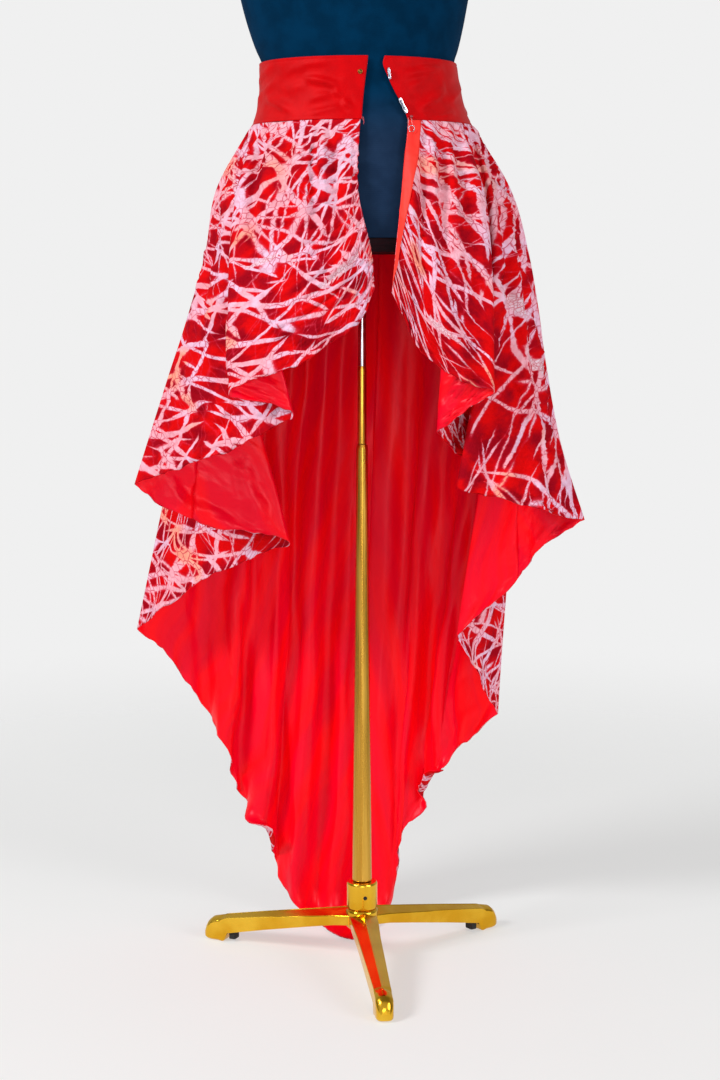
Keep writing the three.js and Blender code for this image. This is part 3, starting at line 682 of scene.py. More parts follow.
def band_grid():
    z = BAND_TOP - (BAND_TOP - BAND_LOW) * (0.5 - 0.5 * np.cos(np.linspace(0, np.pi, BAND_STEPS)))
    sections = smooth_rows(BAND_ROWS, z)
    nc = BAND_COLUMNS
    outer, inner, uv = [], [], []
    for r in sections:
        ring = ring_of(r)

        def bearing(x):
            px, py = band_point(r, x, 0)
            return math.degrees(math.atan2(r[1] - px, -py))

        first, last = bearing(r[5]), 360 + bearing(r[6])
        at = np.linspace(first, last, nc)
        near = min(r[0] - BAND_LOW, BAND_TOP - r[0])
        end = np.minimum(np.arange(nc), np.arange(nc)[::-1]) * 1.6
        round_ = np.sqrt(np.clip(1 - (1 - np.clip(near / EDGE_ROUND, 0, 1)) ** 2, 0, 1))
        end_round = np.sqrt(np.clip(1 - (1 - np.clip(end / 1.6, 0, 1)) ** 2, 0, 1))
        round_ = np.maximum(round_ * end_round, 0.12)
        rise = np.zeros(nc)
        for b0, z0, b1, z1, depth, width in BAND_CREASES:
            a = np.array([b0 * 2.0, z0])
            d = np.array([b1 * 2.0, z1]) - a
            q = np.stack([at * 2.0, np.full(nc, r[0])], 1) - a
            s = np.clip(q @ d / (d @ d), 0, 1)
            gap = np.linalg.norm(q - s[:, None] * d, axis=1)
            fold = np.exp(-(gap / width) ** 2) - 0.55 * np.exp(-((gap - 2.0 * width) / width) ** 2)
            rise += 3.5 * depth * fold * smoothstep(np.minimum(s, 1 - s), -0.1, 0.3)
        rise += 0.25 * np.sin(at / 3.1 + r[0] / 9) * np.sin(at / 7.7 - r[0] / 14)
        rise = np.maximum(rise * smoothstep(near, 0, 8), -0.9)
        hem = 0.35 * np.exp(-((near - 3.0) / 0.7) ** 2)
        top = 0.95 + round_ * 0.75 + rise - hem
        low = 0.95 - round_ * 0.75 + rise * smoothstep(near, 2, 10)
        outer.append([on_ring(ring, b, o, r[0]) for b, o in zip(at, top)])
        inner.append([on_ring(ring, b, o, r[0]) for b, o in zip(at, low)])
        uv.append(np.stack([np.radians(at) * 0.115, np.full(nc, r[0] * MM)], -1))
    swap = lambda g: np.swapaxes(np.array(g), 0, 1)
    return swap(outer), swap(inner), swap(uv)


band = stand_in(wall_object("waistband_cloth", *band_grid()), "plain_red_cotton", "waistband")


# ------------ solids of revolution and lofts
def loft_object(name, rings, sharp):
    """A solid through rings of points, lowest first; sharp is the angle of its hard edges."""
    rings = np.array(rings, float)
    nk, n = rings.shape[:2]
    index = np.arange(nk * n).reshape(nk, n)
    nxt = np.roll(index, -1, axis=1)
    quads = np.stack([index[:-1], nxt[:-1], nxt[1:], index[1:]], -1).reshape(-1, 4)
    faces = [tuple(q) for q in quads.tolist()]
    faces += [tuple(index[0][::-1].tolist()), tuple(index[-1].tolist())]
    mesh = bpy.data.meshes.new(name)
    mesh.from_pydata(put(rings.reshape(-1, 3)).tolist(), [], faces)
    mesh.update()
    obj = bpy.data.objects.new(name, mesh)
    scene.collection.objects.link(obj)
    mesh.polygons.foreach_set("use_smooth", np.ones(len(mesh.polygons), bool))
    mesh.set_sharp_from_angle(angle=math.radians(sharp))
    return obj


def turned(name, profile, sides, node, slot, look=None):
    """A solid of revolution about the pole's axis; profile is (radius, z), lowest first."""
    rings = [circle(r, z, sides) for r, z in profile]
    return stand_in(loft_object(name, rings, 35), slot, node, look)


def circle(radius, height, sides=32):
    a = np.arange(sides) * 2 * np.pi / sides
    return np.stack([radius * np.cos(a), radius * np.sin(a), np.full(sides, height)], 1)


def bevelled(points, radius, steps=3):
    """Rounds the corners of an open (radius, z) profile."""
    p = [np.array(q, float) for q in points]
    out = [p[0]]
    for a, b, c in zip(p[:-2], p[1:-1], p[2:]):
        u, v = a - b, c - b
        lu, lv = np.linalg.norm(u), np.linalg.norm(v)
        r = min(radius, lu * 0.45, lv * 0.45)
        s, e = b + u / lu * r, b + v / lv * r
        for t in np.linspace(0, 1, steps + 1):
            out.append((1 - t) ** 2 * s + 2 * t * (1 - t) * b + t * t * e)
    out.append(p[-1])
    return [(float(q[0]), float(q[1])) for q in out]


FORM_SEAMS = (90, 180, 270)


def form_rings(heights, inset, sides=160):
    rings = []
    for r in smooth_rows(FORM_ROWS, heights):
        ring = ring_of(r)
        bearing = -np.arange(sides) * 360 / sides
        seam = sum(np.exp(-(((bearing + s + 180) % 360 - 180) / 0.9) ** 2) for s in FORM_SEAMS)
        rings.append([on_ring(ring, b, -inset - 0.5 * k, r[0]) for b, k in zip(bearing, seam)])
    return rings


heights = np.concatenate([np.linspace(883.3, 1380, 70), np.linspace(1383, 1500, 36)])
stand_in(loft_object("form_cover", form_rings(heights, 0.2), 40), "navy_cover", "form_torso")


def flat_ring(half, front, back, out, z, centre=0.0, sides=160):
    ring = {"centre": centre, "half": half, "front": front, "back": back}
    return [on_ring(ring, -k * 360 / sides, out, z) for k in range(sides)]


rim_profile = [(-40, 868.4), (-5, 867.4), (-3.2, 867.2), (-2.0, 868.6), (-1.5, 870.4), (-1.5, 874.2),
               (-1.9, 874.9), (-1.9, 875.6), (-1.5, 876.3), (-1.5, 881.4), (-1.9, 882.7), (-2.6, 883.0)]
rim = [flat_ring(155, 117, 121, out, z) for out, z in rim_profile]
stand_in(loft_object("form_rim_ring", rim, 40), "black_rim", "form_rim")

cap_profile = [(-0.4, 1500.3), (0, 1501.2), (0, 1505.6), (-1.4, 1507.8), (-5, 1509.2),
               (-12, 1509.7), (-30, 1509.9)]
cap = [flat_ring(56, 52, 52, out, z, -9, 96) for out, z in cap_profile]
stand_in(loft_object("form_neck_top", cap, 40), "black_rim", "form_neck_cap")

# ------------ pole and stand
TURNED = [      # name, profile, rounding of its corners, sides, node, slot, look
    ("pole_taper", [(10.5, 100.4), (12.0, 101.4), (11.9, 104), (9.6, 340), (7.4, 560), (7.0, 636),
                    (6.3, 640)], 1.5, 72, "pole_lower", "brass", "drawn_brass"),
    ("pole_sleeve", [(5.0, 640.3), (5.4, 641), (5.4, 731), (5.0, 734)], 0.5, 64, "pole_tube",
     "brass", "drawn_brass"),
    ("pole_inner_rod", [(4.9, 734.3), (4.9, 866.7)], 0, 64, "pole_rod", "chrome", None),
    ("stand_centre", [(12, 38), (14.5, 38.4), (19.9, 43.6), (19.9, 63), (18, 65.8), (15, 66)], 1.4,
     96, "stand_hub", "brass", None),
    ("stand_sleeve", [(17.4, 66.3), (18.6, 67), (18.9, 69.5), (18.9, 97.4), (17.8, 99.8),
                      (12.5, 100)], 1.0, 96, "stand_collar", "brass", None),
]
for name, profile, radius, *rest in TURNED:
    turned(name, bevelled(profile, radius) if radius else profile, *rest)

LEG_ROWS = [    # reach, half width, underside, shoulder, ridge
    (20.1, 17.0, 46, 58, 65.0), (32, 16.6, 43.5, 56, 62.9), (70, 14.2, 35.5, 49.5, 56),
    (130, 12.2, 22.8, 40, 45), (182, 10.4, 11, 31, 35), (187, 10.4, 1, 30, 34), (189, 10.5, 0, 29, 33),
    (205, 10.6, 0, 23.5, 29), (211, 9.8, 0.3, 16.5, 24), (214.5, 7.8, 1.5, 11, 18), (216, 5.6, 4, 9, 14),
]
HUB_RADIUS = 20.1
LEG_BEARINGS = {"front": -82.9, "right": 37.1, "left": 157.1}


def rounded_section(corners, radius, steps=4):
    """A closed polygon with its corners rounded: steps + 1 points at each."""
    p = np.array(corners, float)
    out = []
    for a, b, c in zip(np.roll(p, 1, 0), p, np.roll(p, -1, 0)):
        u, v = a - b, c - b
        lu, lv = np.linalg.norm(u), np.linalg.norm(v)
        r = min(radius, lu * 0.4, lv * 0.4)
        s, e = b + u / lu * r, b + v / lv * r
        out += [(1 - t) ** 2 * s + 2 * t * (1 - t) * b + t * t * e for t in np.linspace(0, 1, steps + 1)]
    return np.array(out)


def leg_rings():
    """Sections of a leg: its first one wraps round the hub, and its toe is a low dome."""
    reach = np.concatenate([[20.1, 23, 27], np.linspace(32, 182, 28), [184, 186, 187.2, 188.2, 189.2, 191],
                            np.linspace(194, 216, 16)])
    t = np.array(LEG_ROWS, float)
    rings = []
    for x in reach:
        half, under, shoulder, ridge = (np.interp(x, t[:, 0], t[:, k]) for k in (1, 2, 3, 4))
        toe = smoothstep(x, 188, 198)
        crown, inner_half = ridge - 1.2 * (1 - toe), max(half * 0.56 * toe, 0.8)
        corners = [(-half, under), (half, under), (half, shoulder), (inner_half, crown - 1.5 * toe),
                   (0, ridge), (-inner_half, crown - 1.5 * toe), (-half, shoulder)]
        ring = rounded_section(corners, 1.0 + 3.5 * toe, 3)
        hug = 1 - smoothstep(x, 20.1, 32)
        at = x + hug * (np.sqrt(np.maximum(HUB_RADIUS ** 2 - ring[:, 0] ** 2, 1)) - HUB_RADIUS)
        rings.append(np.stack([at, ring[:, 0], ring[:, 1]], 1))
    return np.array(rings)


def pad_rings():
    """The rubber pad behind a toe, whose top follows the leg's underside."""
    rings = []
    for x, k in ((173, 0.8), (173.7, 0.96), (174.8, 1), (179.7, 1), (180.8, 0.96), (181.5, 0.8)):
        top = np.interp(x, [173, 181.5], [12.8, 10.7])
        ring = rounded_section([(-7 * k, 3), (7 * k, 3), (7 * k, top), (-7 * k, top)], 1.2, 3)
        rings.append(np.stack([np.full(len(ring), x), ring[:, 0], ring[:, 1]], 1))
    return np.array(rings)


for side, degrees in LEG_BEARINGS.items():
    a = math.radians(degrees)
    turn = np.array([[math.cos(a), -math.sin(a), 0], [math.sin(a), math.cos(a), 0], [0, 0, 1]])
    stand_in(loft_object(f"stand_leg_{side}", leg_rings() @ turn.T, 25), "brass", f"leg_{side}")
    stand_in(loft_object(f"foot_pad_{side}", pad_rings() @ turn.T, 40), "black_rubber",
             f"pad_{side}")


# ------------ fastenings, screws and threads
BAND_TABLE = np.array(BAND_ROWS, float)


def on_band(points, x, z, tilt=0.0, lift=0.0):
    """Places points (side, up, outward) on the front of the band, turned by tilt."""
    row = [z] + [np.interp(z, BAND_TABLE[:, 0], BAND_TABLE[:, k]) for k in range(1, 5)]
    at = lambda x_: np.array([*band_point(row, x_, BAND + SEAM_GAP), z])
    side = unit(at(x + 1) - at(x))
    outward = np.cross(side, [0, 0, 1.0])
    outward /= np.linalg.norm(outward)
    up = np.cross(outward, side)
    c, s = math.cos(tilt), math.sin(tilt)
    p = np.asarray(points, float)
    u, v, w = p[..., 0] * c - p[..., 1] * s, p[..., 0] * s + p[..., 1] * c, p[..., 2] + lift
    return at(x) + u[..., None] * side + v[..., None] * up + w[..., None] * outward


def plate_rings(width, length, thick, waist=0.0):
    """A plate with rounded ends and edges, waisted in the middle."""
    a = np.arange(48) * 2 * np.pi / 48
    x, y = np.cos(a), np.sin(a)
    power = 2 / 3.2
    x, y = np.sign(x) * np.abs(x) ** power * width / 2, np.sign(y) * np.abs(y) ** power * length / 2
    x = x * (1 - waist * np.exp(-(y / (0.16 * length)) ** 2))
    rings = []
    for shrink, h in ((0.5, 0), (0.15, 0.02), (0, 0.15), (0, 0.85), (0.15, 0.98), (0.5, 1),
                      (0.9, 1), (1.3, 0.72)):
        k = 1 - shrink / (width / 2)
        rings.append(np.stack([x * k, y * (1 - shrink / (length / 2)), np.full(48, h * thick)], 1))
    return np.array(rings)


def tube_rings(path, radius, sides=12):
    """Rings along a path of points, with rounded ends."""
    p = np.array(path, float)
    along_ = unit(np.gradient(p, axis=0))
    first = unit(np.cross(along_[0], [0.31, 0.5, 0.81]))
    rings = []
    radii = np.full(len(p), radius)
    radii[[0, -1]] *= 0.45
    for q, d, r in zip(p, along_, radii):
        first = unit(first - d * (first @ d))
        other = np.cross(d, first)
        a = np.arange(sides)[:, None] * 2 * np.pi / sides
        rings.append(q + r * (np.cos(a) * first + np.sin(a) * other))
    return np.array(rings)


def fastening(name, rings, slot, node=None, look=None):
    return stand_in(loft_object(name, rings, 50), slot, node, look)


def arc(centre, radius, start, end, count, lean=0.0):
    """Points of an arc in the band's own side-up plane, leaning outwards with height."""
    a = np.radians(np.linspace(start, end, count))
    x, y = radius * np.cos(a), radius * np.sin(a)
    return np.stack([centre[0] + x, centre[1] + y, centre[2] + lean * (y + radius)], 1)


stud = [circle(r, h) for r, h in ((2.2, 0.0), (2.6, 0.15), (2.6, 0.7), (2.3, 0.95), (1.9, 0.9), (1.75, 1.1),
                                  (1.5, 1.6), (1.0, 1.9), (0.4, 2.0))]
fastening("stud_cap", [on_band(r, -2.2, 1068) for r in stud], "brass", "stud_left",
          "dull_brass")
fastening("hook_plate_upper", [on_band(r, 30, 1066, 0.12, 0.6) for r in plate_rings(3.6, 13, 1.3, 0.25)],
          "chrome", "hook_upper")
fastening("hook_plate_lower", [on_band(r, 45, 1030.5, 0.5, 1.7) for r in plate_rings(5.0, 19, 1.8, 0.3)],
          "chrome", "hook_lower")
for name, x, z, tilt, lift, reach in (("hook_bill_upper", 30, 1066, 0.12, 0.6, 4.0),
                                      ("hook_bill_lower", 45, 1030.5, 0.5, 1.7, 5.5)):
    bill = [(0, -reach, 1.9), (0, -reach * 0.4, 2.3), (0, reach * 0.3, 2.6), (0, reach * 0.8, 2.7),
            (0, reach * 1.12, 3.0), (0, reach * 1.2, 3.5), (0, reach * 1.05, 3.9), (0, reach * 0.7, 3.9),
            (0, reach * 0.3, 3.7)]
    path = smooth_curve([on_band(np.array(q), x, z, tilt, lift) for q in bill], 4)
    fastening(name, tube_rings(path, 0.55), "chrome")
bead = [circle(r, h, 24) for r, h in ((0.5, 0), (1.3, 0.3), (1.9, 1.1), (2.0, 1.9), (1.6, 2.8),
                                      (0.9, 3.2), (0.4, 3.3))]
fastening("seam_bead", [on_band(r, 54.6, 1018.4, 0, 0.4) for r in bead], "coral_facing",
          look="red_bead")
ring_arc = arc((0, 0, 0), 3.5, -68, 262, 22, 0.1)
ring_path = smooth_curve([on_band(q, 53.2, 1004.5, 0, 6.4) for q in ring_arc], 2)
fastening("seam_wire_ring", tube_rings(ring_path, 0.5, 10), "chrome")
THREADS = (   # side and height where each one starts on the band, and its points from there
    (0.6, 1018, ((0, 0, -0.4), (0.9, -2.5, 0.8), (1.2, -5.5, 1.3), (0.7, -9, 1.0))),
    (-1.0, 1017.5, ((0, 0, -0.4), (1.2, -2, 0.9), (2.6, -4.6, 1.5), (3.2, -7, 1.3))),
    (52, 1017.5, ((0, 0, -0.4), (-1.2, -2.4, 2.6), (-1.8, -6, 3.8), (-1.2, -11, 4.2))),
    (54, 1017.5, ((0, 0, -0.4), (1.0, -2.6, 2.8), (0.4, -5, 3.8), (1.4, -8, 4.2))),
)
for k, (x, z, points) in enumerate(THREADS):
    path = smooth_curve([on_band(np.array(q), x, z, 0, 0) for q in points], 6)
    fastening(f"thread_end_{k + 1}", tube_rings(path, 0.28, 6), "plain_red_cotton",
              look="sewing_thread")


def on_collar(points, radius, bearing, z):
    """Places points (side, up, outward) on an upright cylinder about the pole's axis."""
    a = math.radians(bearing)
    side, outward = np.array([math.cos(a), math.sin(a), 0]), np.array([math.sin(a), -math.cos(a), 0])
    p = np.asarray(points, float)
    return (outward * (radius + p[..., 2:3]) + side * p[..., :1] + np.array([0, 0, 1.0]) * (p[..., 1:2] + z))


screw = [circle(r, h, 24) for r, h in ((2.0, 0.1), (2.4, 0.25), (2.4, 0.5), (2.1, 0.75),
                                       (1.5, 0.75), (1.3, 0.3), (0.4, 0.2))]
fastening("collar_set_screw", [on_collar(r, 18.9, 12, 83) for r in screw], "black_rubber")
plug = [circle(r, h, 20) for r, h in ((1.0, 0.1), (1.3, 0.2), (1.3, 0.35), (1.0, 0.5),
                                      (0.6, 0.4), (0.3, 0.35))]
fastening("hub_hole_plug", [on_collar(r, 19.9, 8, 62.0) for r in plug], "black_rubber")


# ------------ materials
def srgb(r, g, b):
    """Linear colour of an 8-bit screen colour."""
    return tuple((((c / 255) + 0.055) / 1.055) ** 2.4 if c > 10 else c / 255 / 12.92
                 for c in (r, g, b)) + (1.0,)


class Look:
    """A node material; each call adds a node and gives its output."""

    def __init__(self, name, **fixed):
        self.material = bpy.data.materials.new(name)
        self.material.use_nodes = True
        self.tree = self.material.node_tree
        self.shader = self.tree.nodes["Principled BSDF"]
        for key, value in fixed.items():
            self.shader.inputs[key.replace("_", " ")].default_value = value

    def node(self, kind, inputs=None, out=0, **settings):
        node = self.tree.nodes.new(kind)
        for key, value in settings.items():
            setattr(node, key, value)
        for key, value in (inputs or {}).items():
            if isinstance(value, bpy.types.NodeSocket):
                self.tree.links.new(value, node.inputs[key])
            else:
                node.inputs[key].default_value = value
        return node.outputs[out]

    def uv(self):
        return self.node("ShaderNodeTexCoord", out="UV")

    def place(self):
        return self.node("ShaderNodeTexCoord", out="Object")

    def math(self, operation, a, b=0.0, clamp=False):
        return self.node("ShaderNodeMath", {0: a, 1: b}, operation=operation, use_clamp=clamp)

    def times(self, a, b, clamp=False):
        return self.math("MULTIPLY", a, b, clamp)

    def mapped(self, vector, location=(0, 0, 0), rotation=(0, 0, 0), scale=(1, 1, 1)):
        return self.node("ShaderNodeMapping", {"Vector": vector, "Location": location, "Rotation": rotation,
                                               "Scale": scale})

    def noise(self, vector, scale, detail=2.0, rough=0.5, out=0):
        return self.node("ShaderNodeTexNoise", {"Vector": vector, "Scale": scale, "Detail": detail,
                                                "Roughness": rough}, out=out)

    def edges(self, vector, scale=1.0, flat=True):
        return self.node("ShaderNodeTexVoronoi", {"Vector": vector, "Scale": scale}, out="Distance",
                         feature="DISTANCE_TO_EDGE", voronoi_dimensions="2D" if flat else "3D")

    def step(self, value, low, high, to_low=0.0, to_high=1.0):
        inputs = {"Value": value, "From Min": low, "From Max": high, "To Min": to_low, "To Max": to_high}
        return self.node("ShaderNodeMapRange", inputs, interpolation_type="SMOOTHSTEP")

    def mix(self, factor, a, b):
        node = self.tree.nodes.new("ShaderNodeMix")
        node.data_type = "RGBA"
        for socket, value in ((node.inputs[0], factor), (node.inputs[6], a), (node.inputs[7], b)):
            if isinstance(value, bpy.types.NodeSocket):
                self.tree.links.new(value, socket)
            else:
                socket.default_value = value
        return node.outputs[2]

    def warp(self, vector, scale, amount, detail=1.0):
        colour = self.noise(vector, scale, detail, out="Color")
        shift = self.node("ShaderNodeVectorMath", {0: colour, 1: (0.5, 0.5, 0.5)}, operation="SUBTRACT")
        shift = self.node("ShaderNodeVectorMath", {0: shift, "Scale": amount}, operation="SCALE")
        return self.node("ShaderNodeVectorMath", {0: vector, 1: shift}, operation="ADD")

    def join(self, socket, value):
        self.tree.links.new(value, self.shader.inputs[socket])

    def bump(self, height, strength, distance, before=None):
        inputs = {"Height": height, "Strength": strength, "Distance": distance}
        if before is not None:
            inputs["Normal"] = before
        return self.node("ShaderNodeBump", inputs)


def weave(look, uv, pitch):
    """Height of a plain weave with this many metres between threads."""
    return look.times(*(
        look.node("ShaderNodeTexWave", {"Vector": look.mapped(uv, scale=(0.314 / pitch,) * 3),
                                        "Scale": 1.0, "Distortion": 0.0},
                  out="Fac", bands_direction=way) for way in "XY"))


def inside_stroke(look, limit, edge, pitch, favour):
    if favour is not None:
        limit = look.times(limit, favour)
    return look.times(look.math("SUBTRACT", limit, edge), pitch * 1000)


def strokes(look, uv, angle, pitch, width, shift, favour=None):
    """One family of long strokes, about pitch metres apart: above 0 inside a stroke."""
    turned_ = look.mapped(uv, location=shift, rotation=(0, 0, math.radians(angle)))
    across = look.node("ShaderNodeSeparateXYZ", {0: turned_}, out="X")
    edge = look.node("ShaderNodeTexVoronoi", {"W": look.math("DIVIDE", across, pitch), "Scale": 1.0},
                     out="Distance", feature="DISTANCE_TO_EDGE", voronoi_dimensions="1D")
    grow = look.noise(look.mapped(turned_, location=(3.1, 1.7, 0), scale=(0.8 / pitch, 9, 1)), 1.0, 1.5)
    limit = look.step(grow, 0.34, 0.54, -0.12, width)
    return inside_stroke(look, limit, edge, pitch, favour)


def network(look, uv, angle, pitch, stretch, width, shift, favour=None):
    """Strokes that fork and join round long gaps with pointed ends: above 0 inside a stroke."""
    turned_ = look.mapped(uv, location=shift, rotation=(0, 0, math.radians(angle)))
    edge = look.edges(look.mapped(turned_, scale=(1 / pitch, 1 / pitch / stretch, 1)))
    grow = look.noise(look.mapped(turned_, location=(1.7, 4.1, 0), scale=(0.6 / pitch, 12, 1)), 1.0, 1.5)
    limit = look.step(grow, 0.30, 0.50, -0.10, width)
    return inside_stroke(look, limit, edge, pitch, favour)


def printed_cotton():
    look = Look("printed cotton", Roughness=0.8, Specular_Tint=(1.0, 0.5, 0.5, 1.0),
                Specular_IOR_Level=0.12)
    flat = look.uv()
    uv = look.warp(look.warp(flat, 7, 0.075, 1.0), 38, 0.004, 1.0)
    upright = look.node("ShaderNodeAttribute", out="Fac", attribute_name="upright")
    dense = look.node("ShaderNodeAttribute", out="Fac", attribute_name="dense")
    level = look.math("SUBTRACT", 1.1, upright)
    families = [
        network(look, uv, 10, 0.027, 3.0, 0.080, (0.3, 0.1, 0), upright),
        network(look, uv, 82, 0.028, 3.6, 0.080, (3.7, 2.2, 0), level),
        strokes(look, uv, -28, 0.036, 0.095, (1.9, 0.4, 0)),
        strokes(look, uv, -12, 0.033, 0.110, (1.3, 0.7, 0), upright),
        strokes(look, uv, 104, 0.033, 0.110, (3.3, 0.9, 0), level),
        strokes(look, uv, 20, 0.040, 0.095, (4.3, 2.9, 0), upright),
        strokes(look, uv, 62, 0.042, 0.085, (2.3, 1.9, 0))]
    reach = families[0]                 # millimetres inside the nearest stroke
    for other in families[1:]:
        reach = look.math("MAXIMUM", reach, other)
    reach = look.math("ADD", reach, look.times(dense, 2.2))
    rough = look.noise(look.mapped(flat, location=(6, 3, 0)), 300, 2)
    reach = look.math("ADD", reach, look.times(look.math("SUBTRACT", rough, 0.5), 1.6))
    pale = look.step(reach, -0.4, 0.8)
    fringe = look.step(reach, -1.4, 0.0)
    # Crackle: fine red lines across the pale strokes, where the wax broke.
    bent = look.warp(flat, 60, 0.004)
    crack = look.step(look.edges(look.mapped(bent, scale=(150, 115, 1))), 0.02, 0.12, 1.0, 0.0)
    finer = look.edges(look.mapped(bent, location=(3, 1, 0), scale=(300, 260, 1)))
    finer = look.step(finer, 0.03, 0.14, 1.0, 0.0)
    crackled = look.step(look.noise(look.mapped(flat, location=(4, 4, 0)), 20, 1), 0.38, 0.54)
    crack = look.math("MAXIMUM", look.times(crack, crackled),
                      look.times(finer, dense), True)
    tone = look.noise(look.mapped(flat, location=(7, 3, 0)), 14, 2)
    ground = look.mix(look.step(look.noise(flat, 30, 3), 0.36, 0.62), srgb(150, 0, 20), srgb(214, 2, 6))
    ground = look.mix(look.times(fringe, 0.55), ground, srgb(214, 44, 70))
    pink = look.mix(look.step(tone, 0.42, 0.60), srgb(240, 176, 190), srgb(232, 196, 222))
    peach = look.step(look.noise(look.mapped(flat, location=(1, 6, 0)), 11, 2), 0.56, 0.68)
    pink = look.mix(look.times(peach, 0.8), pink, srgb(250, 158, 118))
    pink = look.mix(look.times(dense, 0.7, True), pink, srgb(228, 218, 226))
    wear = look.step(look.noise(look.mapped(flat, location=(8, 8, 0)), 130, 3), 0.3, 0.7, 0.74, 1.0)
    colour = look.mix(look.times(pale, wear), ground, pink)
    cracked = look.times(look.times(crack, pale), 0.75)
    colour = look.mix(cracked, colour, srgb(192, 34, 66))
    look.join("Base Color", colour)
    crinkle = look.noise(look.warp(flat, 40, 0.01), 80, 4, 0.6)
    first = look.bump(crinkle, 0.8, 0.004)
    look.join("Normal", look.bump(weave(look, flat, 0.0007), 0.25, 0.0002, first))
    return look.material


def satin(name, painted_sheen_tone, painted_shade_tone, rough=0.42):
    look = Look(name, Roughness=rough, Specular_Tint=(1.0, 0.26, 0.3, 1.0),
                Specular_IOR_Level=0.5)
    uv = look.uv()
    # Painted sheen and shade: upright noise streaks mix a lit tone and a darker crimson shade tone into the
    # satin's colour, as light and shade on its folds would.
    streak = look.noise(look.mapped(uv, scale=(30, 3.5, 1)), 1.0, 3)
    colour = look.mix(look.step(streak, 0.35, 0.7), painted_shade_tone, painted_sheen_tone)
    look.join("Base Color", colour)
    wrinkle = look.noise(look.warp(look.mapped(uv, scale=(1, 0.45, 1)), 12, 0.04), 24, 3, 0.5)
    first = look.bump(wrinkle, 0.5, 0.005)
    look.join("Normal", look.bump(weave(look, uv, 0.0005), 0.12, 0.0001, first))
    return look.material


def plain_cotton():
    look = Look("plain red cotton", Roughness=0.5, Specular_Tint=(1.0, 0.1, 0.12, 1.0),
                Specular_IOR_Level=0.4)
    uv = look.uv()
    mottle = look.noise(uv, 60, 3)
    look.join("Base Color", look.mix(look.step(mottle, 0.3, 0.7), srgb(186, 0, 5), srgb(198, 0, 5)))
    first = look.bump(look.noise(look.warp(uv, 30, 0.012), 70, 3), 0.22, 0.0018)
    look.join("Normal", look.bump(weave(look, uv, 0.0007), 0.3, 0.0002, first))
    return look.material


def jersey():
    look = Look("navy jersey", Roughness=0.88, Specular_Tint=(0.2, 0.6, 1.0, 1.0),
                Specular_IOR_Level=0.1)
    place = look.place()
    mottle = look.noise(place, 40, 3)
    low = look.node("ShaderNodeSeparateXYZ", {0: place}, out="Z")
    # Painted red bounce light: below the band's top the navy is tinted redder, where light thrown from the
    # red skirt would fall on it; the mottle between tone and dark is the cover's own.
    upper = look.step(low, 0.98, 1.06)
    tone = look.mix(upper, srgb(28, 46, 72), srgb(0, 42, 72))
    dark = look.mix(upper, srgb(22, 38, 62), srgb(0, 34, 60))
    look.join("Base Color", look.mix(look.step(mottle, 0.3, 0.7), dark, tone))
    knit = look.node("ShaderNodeTexWave", {"Vector": look.mapped(place, scale=(1, 1, 0.35)), "Scale": 420.0,
                                           "Distortion": 1.5}, out="Fac", bands_direction="Z")
    look.join("Normal", look.bump(look.math("ADD", knit, look.noise(place, 900, 1)), 0.18, 0.0002))
    return look.material


def metal(name, tone, dark, rough, scratch=0.05, drawn=0.0):
    """Polished metal; drawn is the depth in metres of the streaks that run up a drawn tube."""
    look = Look(name, Roughness=rough, Metallic=1.0)
    place = look.place()
    cloud = look.noise(look.mapped(place, scale=(6, 6, 0.3)) if drawn else place, 22, 3)
    look.join("Base Color", look.mix(look.step(cloud, 0.3, 0.75), dark, tone))
    fine = look.noise(look.mapped(place, scale=(1, 1, 0.08)), 900, 2)
    look.join("Roughness", look.step(look.math("ADD", cloud, look.times(fine, 0.4)), 0.4, 1.1,
                                     rough * 0.75, rough * 1.4))
    normal = look.bump(fine, scratch, 0.0001)
    if drawn:
        streak = look.noise(look.mapped(place, scale=(1, 1, 0.006)), 420, 2)
        normal = look.bump(streak, 1.0, drawn, normal)
    look.join("Normal", normal)
    return look.material


def dull(name, tone, dark, rough, grain, **fixed):
    look = Look(name, Roughness=rough, **fixed)
    place = look.place()
    look.join("Base Color", look.mix(look.step(look.noise(place, 50, 3), 0.3, 0.7), dark, tone))
    look.join("Normal", look.bump(look.noise(place, grain, 2), 0.2, 0.0003))
    return look.material


LOOKS = {
    "printed_cotton": printed_cotton(),
    # Each satin's two colours are a lit tone and a painted shade tone, mixed in streaks as painted sheen.
    "red_lining": satin("red satin", srgb(254, 2, 16), srgb(232, 0, 36), 0.36),
    "coral_facing": satin("coral satin", srgb(252, 62, 48), srgb(240, 44, 40), 0.5),
    "plain_red_cotton": plain_cotton(),
    "navy_cover": jersey(),
    "black_rim": dull("rim plastic", srgb(34, 6, 16), srgb(20, 4, 10), 0.7, 300,
                      Specular_IOR_Level=0.15),
    "brass": metal("polished brass", srgb(244, 196, 62), srgb(222, 164, 34), 0.2),
    "dull_brass": metal("dull brass", srgb(168, 124, 60), srgb(120, 84, 38), 0.35),
    "drawn_brass": metal("drawn brass", srgb(222, 172, 74), srgb(200, 148, 54), 0.28, 0.1, 0.0004),
    "chrome": metal("chrome", srgb(214, 216, 226), srgb(180, 182, 194), 0.2),
    "red_bead": dull("red bead", srgb(150, 30, 40), srgb(110, 16, 28), 0.3, 900),
    "sewing_thread": dull("sewing thread", srgb(226, 150, 150), srgb(190, 60, 70), 0.9, 2000),
    "black_rubber": dull("foot rubber", srgb(40, 36, 34), srgb(26, 24, 24), 0.8, 700),
}


def dress(obj, material):
    obj.data.materials.clear()
    obj.data.materials.append(material)


for obj, key in dressed:
    dress(obj, LOOKS[key])


def cloth_area(obj):
    """Half the surface of a thin closed sheet."""
    area = np.zeros(len(obj.data.polygons))
    obj.data.polygons.foreach_get("area", area)
    return float(area.sum()) / 2


for obj, panel in cloth_pieces.items():
    round(cloth_area(obj), 3)

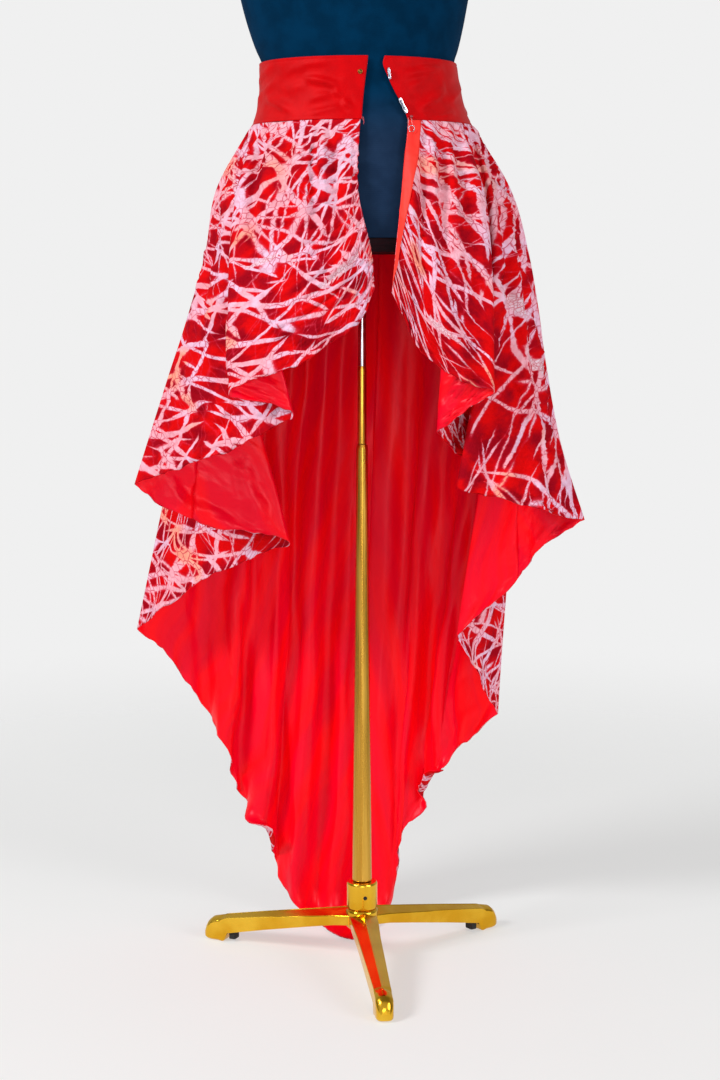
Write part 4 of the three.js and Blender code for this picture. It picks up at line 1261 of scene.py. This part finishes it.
# ------------ stage, light and camera
bpy.ops.mesh.primitive_circle_add(vertices=128, radius=9, fill_type="NGON", location=(0, 0, -0.0005))
floor = bpy.context.object
floor.name = "studio_floor"
look = Look("pale floor", Roughness=0.7, Specular_IOR_Level=0.2)
place = look.place()
tone = look.noise(place, 3, 3)
look.join("Base Color", look.mix(tone, srgb(170, 171, 171), srgb(175, 175, 175)))
radius = look.node("ShaderNodeVectorMath", {0: place}, out="Value", operation="LENGTH")
look.join("Alpha", look.step(radius, 0.65, 2.2, 1.0, 0.0))
look.shader.inputs["Emission Color"].default_value = srgb(240, 240, 239)
look.shader.inputs["Emission Strength"].default_value = 0.53
dress(floor, look.material)

# The camera sees an even pale wall; the part is lit by a studio that is bright in front and dim
# behind. The stops run from the front to the back: place, brightness.
WORLD = 0.62
STOPS = ((0.0, 0.75), (0.3, 0.7), (0.52, 0.28), (0.72, 0.34), (0.86, 1.0), (1.0, 0.9))
world = bpy.data.worlds.new("studio")
scene.world = world
world.use_nodes = True
tree = world.node_tree
background = tree.nodes["Background"]
background.inputs["Color"].default_value = srgb(240, 240, 240)
studio, rays, blend, direction, split, ramp, scaled = (
    tree.nodes.new("ShaderNode" + kind) for kind in
    ("Background", "LightPath", "MixShader", "TexCoord", "SeparateXYZ", "ValToRGB", "MapRange"))
studio.inputs["Strength"].default_value = WORLD
scaled.inputs["From Min"].default_value, scaled.inputs["From Max"].default_value = 1.0, -1.0
while len(ramp.color_ramp.elements) < len(STOPS):
    ramp.color_ramp.elements.new(0.5)
for element, (at, value) in zip(ramp.color_ramp.elements, STOPS):
    element.position, element.color = at, (value, value, value, 1)
for output, socket in (
        (direction.outputs["Generated"], split.inputs[0]),
        (split.outputs["Y"], scaled.inputs["Value"]),
        (scaled.outputs[0], ramp.inputs["Fac"]),
        (ramp.outputs["Color"], studio.inputs["Color"]),
        (rays.outputs["Is Camera Ray"], blend.inputs[0]),
        (studio.outputs[0], blend.inputs[1]),
        (background.outputs[0], blend.inputs[2]),
        (blend.outputs[0], tree.nodes["World Output"].inputs["Surface"])):
    tree.links.new(output, socket)


def area_light(name, place_, aim, size, power, colour=(1, 1, 1)):
    light = bpy.data.lights.new(name, "AREA")
    light.shape, light.size, light.energy, light.color = "DISK", size, power, colour
    obj = bpy.data.objects.new(name, light)
    scene.collection.objects.link(obj)
    obj.location = place_
    obj.rotation_euler = (Vector(aim) - Vector(place_)).to_track_quat("-Z", "Y").to_euler()


area_light("key", (-2.7, -1.8, 2.7), (0, 0, 0.6), 1.2, 110)
area_light("fill", (2.6, -2.0, 1.5), (0, 0, 0.5), 1.6, 42)
area_light("front", (0.25, -3.6, 0.75), (0, 0, 0.45), 1.4, 22)

camera = bpy.data.objects.new("camera", bpy.data.cameras.new("camera"))
scene.collection.objects.link(camera)
camera.data.lens = 65.42
camera.data.sensor_width = 36
camera.location = (0.0090, -2.3366, 0.836)
camera.rotation_euler = (math.radians(82.45), 0, 0)
scene.camera = camera
scene.view_settings.view_transform = "Standard"
